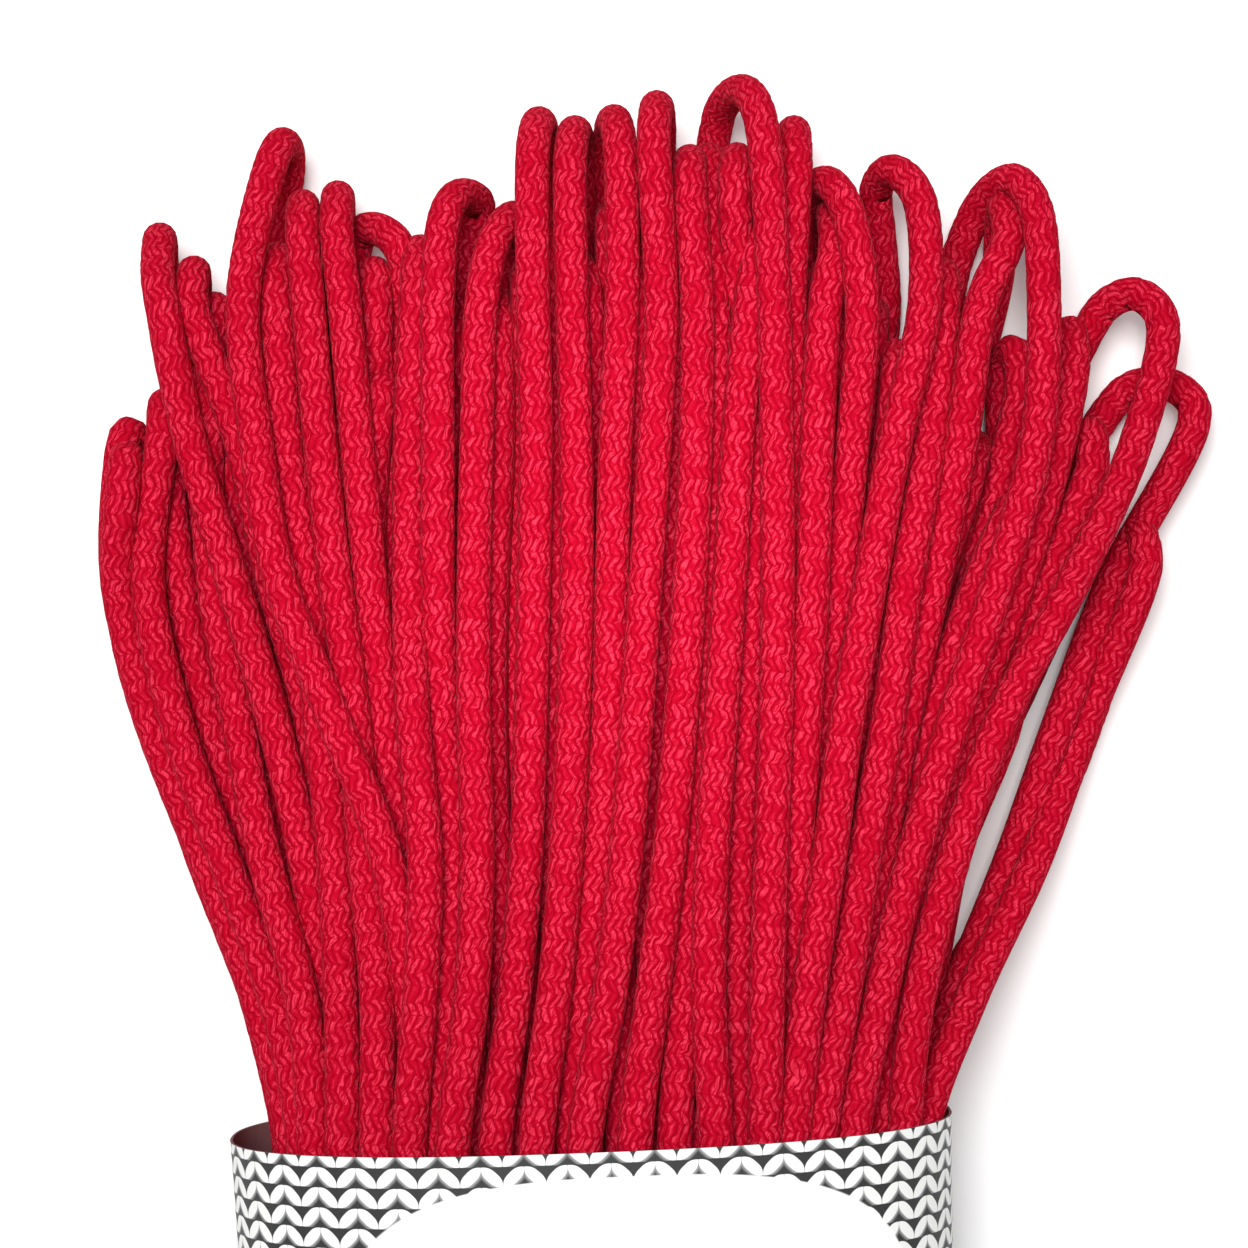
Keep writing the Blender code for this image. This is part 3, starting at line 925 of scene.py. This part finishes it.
@dataclass
class CordPieces:
    """The cord's meshes: tubes along the winding, a few turns to a piece."""

    winding: Winding
    braid: Braid = Braid()
    turns_a_piece: int = 7
    inner_sides: int = 10
    inner_spacing: float = 5.0
    samples: int = 4
    hidden_room: float = 4.0
    end_room: float = 0.2

    def frames(self, line: np.ndarray) -> tuple:
        """Directions across a line that turn no more than the line does.

        Directions square to the x axis are taken first. How far each turns from the one before,
        carried along the line, is added up and taken off again.

        Args:
            line: the line's points.

        Returns:
            Two arrays of directions, square to the line and to each other.
        """
        along = unit(np.gradient(line, axis=0))
        side = unit(np.array([1.0, 0.0, 0.0]) - along * along[:, :1])
        over = np.cross(along, side)
        carried = side[:-1]
        axis = np.cross(along[:-1], along[1:])
        dot = np.sum(along[:-1] * along[1:], axis=1, keepdims=True)
        carried = (carried * dot + np.cross(axis, carried)
                   + axis * np.sum(axis * carried, axis=1, keepdims=True) / (1 + dot))
        angle = np.arctan2(np.sum(carried * over[1:], axis=1), np.sum(carried * side[1:], axis=1))
        back = np.append(0.0, np.cumsum(angle))[:, None]
        return side * np.cos(back) + over * np.sin(back), over * np.cos(back) - side * np.sin(back)

    def ring_places(self, line: np.ndarray, grade_at: np.ndarray) -> np.ndarray:
        """Distances along a line at which rings go.

        Where it is cut finely, two rings stand close together at each turn of the zigzag, so
        that its strokes are straight. Elsewhere one of the two is left out, or three of four.

        Args:
            line: the line's points.
            grade_at: how finely it is cut at each of them.

        Returns:
            The distances.
        """
        along = distance_along(line)
        phases = np.array([self.braid.bend, 0.5 - self.braid.bend, 0.5 + self.braid.bend,
                           1 - self.braid.bend])
        periods = np.arange(int(along[-1] / self.braid.period) + 1)
        place = ((periods[:, None] + phases[None, :]) * self.braid.period).ravel()
        grade = np.interp(place, along, grade_at)
        number = np.tile(np.arange(len(phases)), len(periods))
        keep = (grade > (Grade.FINE.value + Grade.PLAIN.value) / 2) | (number == 1)
        keep |= (number % 2 == 1) & (grade > (Grade.PLAIN.value + Grade.HIDDEN.value) / 2)
        return place[keep]

    def tube(self, line: np.ndarray, places: np.ndarray, start: float, sides: int,
             braided: bool) -> tuple:
        """A closed tube along a line.

        Each ring is a circle whose points are, in turn, a ridge and a valley. The whole ring is
        turned by a three-cornered wave of the distance along the cord.

        Args:
            line: the centre line.
            places: distances along it at which rings go.
            start: how far along the whole cord the line begins.
            sides: how many points a ring has.
            braided: whether the rings carry the braid.

        Returns:
            Vertices, four-cornered faces, a texture place for each face corner, which counts
            ridges straight round the cord and millimetres along it, and the number of sides.
        """
        along = distance_along(line)
        centre = np.stack([np.interp(places, along, line[:, i]) for i in range(3)], axis=1)
        side, over = self.frames(centre)
        phase = places / self.braid.period
        wave = 2 * np.abs(2 * (phase - np.floor(phase + 0.5))) - 1
        column = np.arange(sides)
        shift = self.braid.zigzag * wave * 2 * math.pi / self.braid.ridges * braided
        angle = 2 * math.pi * column[None, :] / sides + shift[:, None]
        radius = np.full((len(places), sides), self.braid.radius)
        if braided:
            radius = radius - self.braid.valley * (column % 2)[None, :]
        verts = (centre[:, None] + radius[..., None]
                 * (np.cos(angle)[..., None] * side[:, None] + np.sin(angle)[..., None] * over[:, None]))
        u = (column[None, :] * self.braid.ridges / sides
             + (self.braid.zigzag * wave * braided)[:, None])
        uv = corner_places(u, u + self.braid.ridges / sides, start + places)
        faces = ring_faces(len(places), sides)
        return verts.reshape(-1, 3), faces.reshape(-1, 4), uv.reshape(-1, 2), sides

    def mesh(self, name: str, tubes: list) -> bpy.types.Object:
        """One object from several tubes, with its ends closed and its texture places set.

        Args:
            name: the piece's name.
            tubes: what tube gave for each of them.

        Returns:
            The object, without a finish.
        """
        verts, loops, starts, uvs = [], [], [], []
        offset = corner = 0
        for points, faces, uv, sides in tubes:
            verts.append(np.maximum(points, (-np.inf, -np.inf, 0.0)))
            caps = [np.arange(sides), np.arange(len(points) - sides, len(points))[::-1]]
            loops += [faces.ravel() + offset] + [cap + offset for cap in caps]
            starts += [corner + 4 * np.arange(len(faces))]
            corner += 4 * len(faces)
            starts += [np.array([corner, corner + sides])]
            corner += 2 * sides
            uvs += [uv, np.zeros((2 * sides, 2))]
            offset += len(points)
        verts, loops, starts, uvs = (np.concatenate(rows) for rows in (verts, loops, starts, uvs))
        mesh = bpy.data.meshes.new(name)
        mesh.vertices.add(len(verts))
        mesh.vertices.foreach_set("co", (verts * METRES_PER_MM).ravel().astype(np.float32))
        mesh.loops.add(len(loops))
        mesh.loops.foreach_set("vertex_index", loops.astype(np.int32))
        mesh.polygons.add(len(starts))
        mesh.polygons.foreach_set("loop_start", starts.astype(np.int32))
        set_texture_places(mesh, uvs)
        mesh.update(calc_edges=True)
        mesh.validate()
        mesh.shade_smooth()
        return into_scene(name, mesh)

    def build(self, finish: bpy.types.Material) -> None:
        """All the cord's pieces, dressed and riding on the frame.

        Args:
            finish: the cord's material.
        """
        winding = self.winding
        curve, place = smooth_curve(winding.points, self.samples)
        turn = winding.turn_of[np.minimum(place.astype(int), len(winding.points) - 1)]
        pinned = np.interp(place, np.arange(len(winding.points)), winding.pinned.astype(float))
        hidden = np.abs(curve[:, 1]) < winding.band.half_height - self.hidden_room
        grade = np.where(pinned > 0.5, Grade.FINE.value, Grade.PLAIN.value)
        grade = np.where(hidden, Grade.HIDDEN.value, grade).astype(float)
        pieces, tubes = [], []
        outer, count = len(LOOPS) + len(BACK_LOOPS), winding.turn_of.max() + 1
        total = 0.0
        for k in range(count):
            stretch = np.nonzero(turn == k)[0]
            stretch = np.append(stretch, min(stretch[-1] + 1, len(curve) - 1))
            line = curve[stretch]
            length = distance_along(line)[-1]
            start = round(total / self.braid.period) * self.braid.period
            total += length
            if k < outer:
                places = self.ring_places(line, grade[stretch])
                places = places[(places > self.end_room) & (places < length - self.end_room)]
                places = np.concatenate([[0.0], places, [length]])
                tubes.append(self.tube(line, places, start, 2 * self.braid.ridges, True))
            else:
                places = np.linspace(0, length, int(length / self.inner_spacing))
                tubes.append(self.tube(line, places, start, self.inner_sides, False))
            full = k < outer and (k + 1) % self.turns_a_piece == 0
            if full or k + 1 in (outer, count):
                name = f"cord_turns_{len(pieces) + 1}" if k < outer else "cord_inside"
                pieces.append(self.mesh(name, tubes))
                tubes = []
        for obj in pieces:
            obj.data.materials.append(finish)
            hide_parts("hank")
            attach(obj, "root")
            triangles = sum(len(p.vertices) - 2 for p in obj.data.polygons)
            LOG.info("%s: %d triangles", obj.name, triangles)
        LOG.info("cord: %.1f m in %d turns", total * METRES_PER_MM, count)


class NodeSheet:
    """Short ways to add shader nodes to a material."""

    MIX_FIRST = 6
    MIX_SECOND = 7
    MIX_RESULT = 2

    def __init__(self, name: str) -> None:
        """Start a material with one Principled shader."""
        self.material = bpy.data.materials.new(name)
        self.material.use_nodes = True
        self.nodes = self.material.node_tree.nodes
        self.links = self.material.node_tree.links
        self.shader = self.nodes["Principled BSDF"]

    def put(self, socket: bpy.types.NodeSocket, value: object) -> None:
        """Give a socket a value, or link it to another socket."""
        if isinstance(value, bpy.types.NodeSocket):
            self.links.new(value, socket)
        else:
            socket.default_value = value

    def node(self, kind: str, **settings: object) -> bpy.types.Node:
        """A node with some of its settings changed.

        Args:
            kind: Blender's name of the kind of node.
            settings: the settings, by their names.

        Returns:
            The node.
        """
        node = self.nodes.new(kind)
        for key, value in settings.items():
            setattr(node, key, value)
        return node

    def math(self, operation: str, *values: object) -> bpy.types.NodeSocket:
        """The result of one sum.

        Args:
            operation: Blender's name of the sum.
            values: the numbers or sockets that go into it.

        Returns:
            The socket that gives it.
        """
        node = self.node("ShaderNodeMath", operation=operation)
        for socket, value in zip(node.inputs, values):
            self.put(socket, value)
        return node.outputs[0]

    def power(self, value: object, exponent: float) -> bpy.types.NodeSocket:
        """The size of a value, raised to a power."""
        return self.math("POWER", self.math("ABSOLUTE", value), exponent)

    def step(self, value: object, nought: float, one: float) -> bpy.types.NodeSocket:
        """A smooth step, which may also fall.

        Args:
            value: the number or socket that it goes by.
            nought: the value up to which it is 0.
            one: the value from which it is 1, lower than nought where the step falls.

        Returns:
            The socket that gives it.
        """
        node = self.node("ShaderNodeMapRange", interpolation_type="SMOOTHSTEP")
        for name, given in (("Value", value), ("From Min", nought), ("From Max", one)):
            self.put(node.inputs[name], given)
        return node.outputs["Result"]

    def noise(self, place: object, scale: float, detail: float = 2.0) -> bpy.types.NodeSocket:
        """Soft random values.

        Args:
            place: the vector socket that says where.
            scale: how many to a unit of length, about.
            detail: how many finer layers are added.

        Returns:
            The socket that gives them.
        """
        node = self.node("ShaderNodeTexNoise")
        for name, given in (("Vector", place), ("Scale", scale), ("Detail", detail)):
            self.put(node.inputs[name], given)
        return node.outputs["Fac"]

    def mix(self, share: object, first: object, second: object) -> bpy.types.NodeSocket:
        """One colour turning into another.

        Args:
            share: how much of the second there is, from 0 to 1.
            first: the one colour, a value or a socket.
            second: the other one.

        Returns:
            The socket that gives the colour.
        """
        node = self.node("ShaderNodeMix", data_type="RGBA")
        for at, given in (("Factor", share), (self.MIX_FIRST, first), (self.MIX_SECOND, second)):
            self.put(node.inputs[at], given)
        return node.outputs[self.MIX_RESULT]

    def vector(self, x: object, y: object, z: object = 0.0) -> bpy.types.NodeSocket:
        """A vector socket from numbers or sockets for x, y and z."""
        node = self.node("ShaderNodeCombineXYZ")
        for socket, value in zip(node.inputs, (x, y, z)):
            self.put(socket, value)
        return node.outputs[0]

    def texture_place(self) -> tuple:
        """The two texture coordinates of the piece."""
        node = self.node("ShaderNodeUVMap", uv_map=UV_LAYER)
        split = self.node("ShaderNodeSeparateXYZ")
        self.links.new(node.outputs[0], split.inputs[0])
        return split.outputs[0], split.outputs[1]

    def bump(self, height: object, strength: float, distance: float) -> None:
        """Raise the surface by a height.

        Args:
            height: the socket that gives it.
            strength: how much of it shows, from 0 to 1.
            distance: how many millimetres a height of 1 stands for.
        """
        node = self.node("ShaderNodeBump")
        node.inputs["Strength"].default_value = strength
        node.inputs["Distance"].default_value = distance * METRES_PER_MM
        self.put(node.inputs["Height"], height)
        self.links.new(node.outputs[0], self.shader.inputs["Normal"])

    def finish(self, colour: object, **values: object) -> bpy.types.Material:
        """The material, once its shader has its colour and its plain values.

        Args:
            colour: the base colour, as a value or a socket.
            values: what else is set, by the sockets' names in small letters and underscores.

        Returns:
            The finished material.
        """
        self.put(self.shader.inputs["Base Color"], colour)
        sockets = {socket.name.lower().replace(" ", "_"): socket for socket in self.shader.inputs}
        for name, value in values.items():
            sockets[name].default_value = value
        return self.material


@dataclass(frozen=True)
class RedCotton:
    """Dyed cotton yarn, braided, softly fuzzy: a painted highlight in streaks on its ridges, painted
    shade in its creases.
    """

    braid: Braid = Braid()
    # light is a painted highlight colour for the fibres at the strokes' tops; plain is the cord's own
    # red
    light: tuple = (0.64, 0.031, 0.070, 1.0)
    plain: tuple = (0.39, 0.0018, 0.016, 1.0)
    # deep is painted shade for the creases between the strokes, darker than the cord's own red
    deep: tuple = (0.23, 0.0004, 0.006, 1.0)
    stroke_half: float = 0.30
    slim: float = 1.25
    unlike: float = 0.8
    fibre: float = 0.8
    stray: float = 0.6
    late: float = 0.55
    stroke_end: float = 0.6
    fibres_across: float = 5.0
    fibres_along: float = 3.2
    stray_size: tuple = (0.9, 0.8)
    late_size: tuple = (0.5, 1.0)
    late_apart: float = 7.0
    starts: tuple = (-0.25, -0.75)
    # Height range over which the colour goes from the painted crease shade to the plain red
    shade: tuple = (0.20, 0.78)
    # Height and fibre ranges where the painted highlight streaks lie
    painted_highlight: tuple = (0.85, 1.35)
    painted_highlight_fibre: tuple = (0.4, 0.62)
    bump: tuple = (0.6, 0.18)
    roughness: float = 0.9
    gloss: float = 0.01
    sheen: float = 0.05
    sheen_roughness: float = 0.3
    sheen_tint: tuple = (1.0, 0.20, 0.28, 1.0)

    def stroke(self, sheet: NodeSheet, u: object, turns: object, lean: float) -> tuple:
        """One set of the braid's strokes, all leaning the same way, one in each period.

        A stroke is a dome: 1 less the square of the share of its half width, times a share that
        falls from 1 to 0 towards its ends. Its fibres are noise drawn out along it.

        Args:
            sheet: the material's nodes.
            u: ridges round the cord.
            turns: periods along the cord, counted from the middle of a stroke.
            lean: how many ridges the stroke moves over in a period.

        Returns:
            How high each point of the stroke stands, and the fibres' noise.
        """
        row = sheet.math("FLOOR", sheet.math("ADD", turns, 0.5))
        off = sheet.math("SUBTRACT", turns, row)
        slid = sheet.math("MULTIPLY_ADD", off, -lean, u)
        column = sheet.math("FLOOR", sheet.math("ADD", slid, 0.5))
        across = sheet.math("MULTIPLY", sheet.math("SUBTRACT", slid, column), 2.0)
        across = sheet.math("MULTIPLY", sheet.math("MULTIPLY", across, across), self.slim)
        dome = sheet.math("MAXIMUM", sheet.math("SUBTRACT", 1.0, across), 0.0)
        end = sheet.step(sheet.math("ABSOLUTE", off), self.stroke_half,
                         self.stroke_end * self.stroke_half)
        own = sheet.node("ShaderNodeTexWhiteNoise")
        sheet.put(own.inputs["Vector"], sheet.vector(column, row, lean))
        lift = sheet.math("MULTIPLY_ADD", own.outputs["Value"], self.unlike, 1 - self.unlike / 2)
        fibres = sheet.noise(sheet.vector(sheet.math("MULTIPLY", slid, self.fibres_across),
                                          sheet.math("MULTIPLY", turns, self.fibres_along), lean), 1.0)
        height = sheet.math("MULTIPLY", sheet.math("MULTIPLY", dome, end), lift)
        return sheet.math("MULTIPLY_ADD", fibres, self.fibre, height), fibres

    def make(self) -> bpy.types.Material:
        """The cord's material.

        The texture's first coordinate counts ridges round the cord and the second is the distance
        along it, both pushed about a little by soft noise. Two sets of strokes lean to the two
        sides, half a period apart, and the higher one shows at each place.
        """
        sheet = NodeSheet("red_cotton")
        u, v = sheet.texture_place()
        drawn, size = self.stray_size
        stray = sheet.noise(sheet.vector(u, sheet.math("MULTIPLY", v, drawn)), size, 1.0)
        drawn, size = self.late_size
        late = sheet.noise(sheet.vector(u, sheet.math("MULTIPLY", v, drawn), self.late_apart), size, 1.0)
        slid = sheet.math("MULTIPLY_ADD", stray, self.stray, u)
        periods = sheet.math("DIVIDE", v, self.braid.period)
        periods = sheet.math("MULTIPLY_ADD", late, self.late, periods)
        lean = 4 * self.braid.zigzag
        first, fine = self.stroke(sheet, slid, sheet.math("ADD", periods, self.starts[0]), lean)
        second, _ = self.stroke(sheet, slid, sheet.math("ADD", periods, self.starts[1]), -lean)
        height = sheet.math("MAXIMUM", first, second)
        # Painted shade: the deep colour where the strokes stand low, in the creases between them,
        # turning into the plain red on their domes
        tone_with_painted_crease_shade = sheet.mix(sheet.step(height, *self.shade), self.deep, self.plain)
        # Painted highlight: the light colour in streaks along the fibres where the strokes stand highest
        painted_highlight = sheet.math("MULTIPLY", sheet.step(height, *self.painted_highlight),
                            sheet.step(fine, *self.painted_highlight_fibre))
        sheet.bump(height, *self.bump)
        return sheet.finish(sheet.mix(painted_highlight, tone_with_painted_crease_shade, self.light), roughness=self.roughness,
                            sheen_weight=self.sheen, sheen_roughness=self.sheen_roughness,
                            sheen_tint=self.sheen_tint, specular_ior_level=self.gloss)


@dataclass(frozen=True)
class KnitPrint:
    """Paper printed with a chart of knitted stitches, and a bare white oval in front."""

    column: float = 5.66
    row: float = 2.68
    first_row: float = 0.09
    leaf_thick: float = 0.39
    leaf_long: float = 0.98
    oval_half_width: float = 39.8
    oval_half_height: float = 24.7
    oval_power: float = 2.8
    oval_x: float = 5.1
    ink: tuple = (0.032, 0.032, 0.033, 1.0)
    faded: tuple = (0.32, 0.32, 0.32, 1.0)
    leaf: tuple = (0.78, 0.78, 0.765, 1.0)
    paper: tuple = (0.90, 0.895, 0.885, 1.0)
    leaf_edge: tuple = (1.06, 0.92)
    fade_side: tuple = (0.0, -0.3)
    fade_edge: tuple = (1.75, 0.95)
    oval_edge: tuple = (1.015, 0.985)
    tip_power: float = 3.0
    grain: tuple = (3.0, 4.0)
    bump: tuple = (0.25, 0.03)
    roughness: float = 0.5
    gloss: float = 0.2

    def make(self) -> bpy.types.Material:
        """The printed face.

        The texture's coordinates are distances round the band from the middle of its front, and
        along the hank, in millimetres. Each half column holds a leaf along one diagonal or the
        other by turns, so that two leaves make a stitch: the share of its half thickness that a
        point is off the diagonal, and the cube of the share of its half length, add up to less
        than 1. Under each leaf the ink is faded.
        """
        sheet = NodeSheet("knit_print")
        u, v = sheet.texture_place()
        across = sheet.math("DIVIDE", u, self.column / 2)
        local = sheet.math("SUBTRACT", sheet.math("FRACT", across), 0.5)
        parity = sheet.math("FRACT", sheet.math("MULTIPLY", sheet.math("FLOOR", across), 0.5))
        side = sheet.math("MULTIPLY", local, sheet.math("MULTIPLY_ADD", parity, -4.0, 1.0))
        rows = sheet.math("ADD", sheet.math("DIVIDE", v, self.row), self.first_row)
        level = sheet.math("SUBTRACT", sheet.math("FRACT", rows), 0.5)
        off = sheet.math("DIVIDE", sheet.math("SUBTRACT", level, side), self.leaf_thick)
        tip = sheet.math("DIVIDE", sheet.math("ADD", level, side), self.leaf_long)
        far = sheet.math("ADD", sheet.math("ABSOLUTE", off), sheet.power(tip, self.tip_power))
        under = sheet.math("MULTIPLY", sheet.step(off, *self.fade_side),
                           sheet.step(far, *self.fade_edge))
        ink = sheet.mix(under, self.ink, self.faded)
        stitches = sheet.mix(sheet.step(far, *self.leaf_edge), ink, self.leaf)
        x = sheet.math("DIVIDE", sheet.math("SUBTRACT", u, self.oval_x), self.oval_half_width)
        y = sheet.math("DIVIDE", v, self.oval_half_height)
        oval = sheet.math("ADD", *(sheet.power(part, self.oval_power) for part in (x, y)))
        bare = sheet.step(oval, *self.oval_edge)
        sheet.bump(sheet.noise(sheet.vector(u, v), *self.grain), *self.bump)
        return sheet.finish(sheet.mix(bare, stitches, self.paper), roughness=self.roughness,
                            specular_ior_level=self.gloss)


@dataclass(frozen=True)
class PaperBackPaintedShade:
    """The unprinted back of the paper, coloured with painted shade and a painted red reflection of the
    cord.
    """

    # Both tones are painted shade with a painted red reflection of the cord, darker than the paper's own
    # white
    light: tuple = (0.20, 0.09, 0.095, 1.0)
    dark: tuple = (0.14, 0.055, 0.06, 1.0)
    cloud: tuple = (0.8, 4.0)
    bump: tuple = (0.2, 0.05)
    roughness: float = 0.75

    def make(self) -> bpy.types.Material:
        """Painted shade with a painted red reflection of the cord: a dull dark red-brown with faint
        clouds.
        """
        sheet = NodeSheet("plain_paper")
        u, v = sheet.texture_place()
        cloud = sheet.noise(sheet.vector(u, v), *self.cloud)
        sheet.bump(cloud, *self.bump)
        return sheet.finish(sheet.mix(cloud, self.dark, self.light), roughness=self.roughness)


@dataclass
class PaperBand:
    """The band's mesh: a thin strip closed round the hank, with an outer and an inner face."""

    shape: BandShape
    points: int = 240
    rows: int = 29
    ripple: float = 0.08
    ripples_round: int = 5
    ripple_start: float = 0.9
    ripple_length: float = 13.0
    inward_step: float = 1.0
    sharp: float = math.radians(40)

    def face(self, inset: float) -> np.ndarray:
        """A grid of points on one face: the ring, with a slight ripple of the paper.

        Args:
            inset: how far inside the outer face of the solid.

        Returns:
            An array of rows by points round by coordinates.
        """
        angle = -math.pi / 2 + 2 * math.pi * np.arange(self.points + 1) / self.points
        along = np.linspace(-1, 1, self.rows) * self.shape.half_height
        round_it = np.sin(self.ripples_round * angle)[None, :]
        along_it = np.sin(self.ripple_start + along / self.ripple_length)[:, None]
        wave = self.ripple * (1 + round_it * along_it)
        grid_angle, grid_along = np.meshgrid(angle, along)
        ring = self.shape.ring(grid_angle, grid_along, inset)
        deeper = self.shape.ring(grid_angle, grid_along, inset + self.inward_step)
        inward = unit(deeper - ring)
        return ring + inward * wave[..., None]

    def build(self, printed: bpy.types.Material, plain: bpy.types.Material) -> None:
        """The strip as one closed shell, dressed and riding on the frame.

        Args:
            printed: the finish of the outer face.
            plain: the finish of the inner face and the rims, whose colour is painted shade with a
                painted red reflection of the cord.
        """
        outer, inner = self.face(0.0), self.face(self.shape.paper)
        count = self.points
        verts = np.concatenate([outer[:, :-1], inner[:, :-1]]).reshape(-1, 3)
        verts[:, 2] = np.maximum(verts[:, 2], 0.0)
        outside = ring_faces(self.rows, count)
        skin = self.rows * count
        inside = outside[..., ::-1] + skin
        edge, next_edge = np.arange(count), (np.arange(count) + 1) % count
        top = (self.rows - 1) * count
        lower = np.stack([edge, next_edge, next_edge + skin, edge + skin], axis=-1)
        upper = np.stack([next_edge, edge, edge + skin, next_edge + skin], axis=-1) + top
        faces = np.concatenate([part.reshape(-1, 4) for part in (outside, inside, lower, upper)])
        around = distance_along(outer[self.rows // 2])
        around = np.interp(count / 2, np.arange(count + 1), around) - around
        u, u_beside = (np.broadcast_to(part, (self.rows, count)) for part in (around[:-1], around[1:]))
        v = np.linspace(-1, 1, self.rows) * self.shape.half_height
        face_uv = corner_places(u, u_beside, v)
        rim_uv = np.zeros((2 * count, 4, 2))
        uv = [part.reshape(-1, 4, 2) for part in (face_uv, face_uv[:, :, ::-1], rim_uv)]
        mesh = bpy.data.meshes.new("band_strip")
        mesh.from_pydata((verts * METRES_PER_MM).tolist(), [], faces.tolist())
        set_texture_places(mesh, np.concatenate(uv))
        mesh.materials.append(printed)
        mesh.materials.append(plain)
        is_plain = np.arange(len(faces)) >= (self.rows - 1) * count
        mesh.polygons.foreach_set("material_index", is_plain.astype(np.int32))
        mesh.shade_smooth()
        mesh.set_sharp_from_angle(angle=self.sharp)
        obj = into_scene("band_strip", mesh)
        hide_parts("band")
        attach(obj, "root")
        LOG.info("band_strip: %d triangles, strip %.0f mm long", 2 * len(faces), around[0] - around[-1])


@dataclass(frozen=True)
class Studio:
    """A plain pale floor under soft light from above."""

    floor_half: float = 1.5
    floor_colour: tuple = (0.92, 0.92, 0.92, 1.0)
    floor_roughness: float = 0.9
    key_watts: float = 10.5
    key_size: float = 0.4
    key_place: tuple = (-0.12, 0.30, 0.98)
    glow_watts: float = 6.0
    glow_size: float = 0.05
    glow_place: tuple = (0.005, 0.11, 0.45)
    glow_spread: float = math.radians(20)
    sky: float = 0.45
    sky_colour: tuple = (1.0, 1.0, 1.0, 1.0)

    def build(self, centre: Vector) -> None:
        """Floor, light and the even white surroundings.

        Args:
            centre: what the light points at, in metres.
        """
        mesh = bpy.data.meshes.new("floor")
        h = self.floor_half
        mesh.from_pydata([(-h, -h, 0), (h, -h, 0), (h, h, 0), (-h, h, 0)], [], [(0, 1, 2, 3)])
        floor = into_scene("floor", mesh)
        finish = NodeSheet("floor").finish(self.floor_colour, roughness=self.floor_roughness)
        mesh.materials.append(finish)
        lamp = bpy.data.lights.new("key", "AREA")
        lamp.energy = self.key_watts
        lamp.size = self.key_size
        key = into_scene("key", lamp)
        key.location = self.key_place
        key.rotation_euler = (centre - key.location).to_track_quat("-Z", "Y").to_euler()
        spot = bpy.data.lights.new("glow", "SPOT")
        spot.energy = self.glow_watts
        spot.shadow_soft_size = self.glow_size
        spot.spot_size = self.glow_spread
        spot.spot_blend = 1.0
        into_scene("glow", spot).location = self.glow_place
        world = bpy.data.worlds.new("surroundings")
        world.use_nodes = True
        backdrop = world.node_tree.nodes["Background"]
        backdrop.inputs["Color"].default_value = self.sky_colour
        backdrop.inputs["Strength"].default_value = self.sky
        bpy.context.scene.world = world
        bpy.context.scene.view_settings.view_transform = "Standard"


def main() -> None:
    """Build the classes in order."""
    logging.basicConfig(level=logging.INFO, format="%(name)s: %(message)s")
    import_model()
    view = PhotoView()
    view.set_camera()
    band = BandShape()
    winding = Winding(view, band)
    winding.lay_out()
    Settler(winding).run()
    CordPieces(winding).build(RedCotton().make())
    PaperBand(band).build(KnitPrint().make(), PaperBackPaintedShade().make())
    Studio().build(Vector((view.centre_x, view.centre_y, 0.0)) * METRES_PER_MM)


if __name__ == "__main__":
    main()
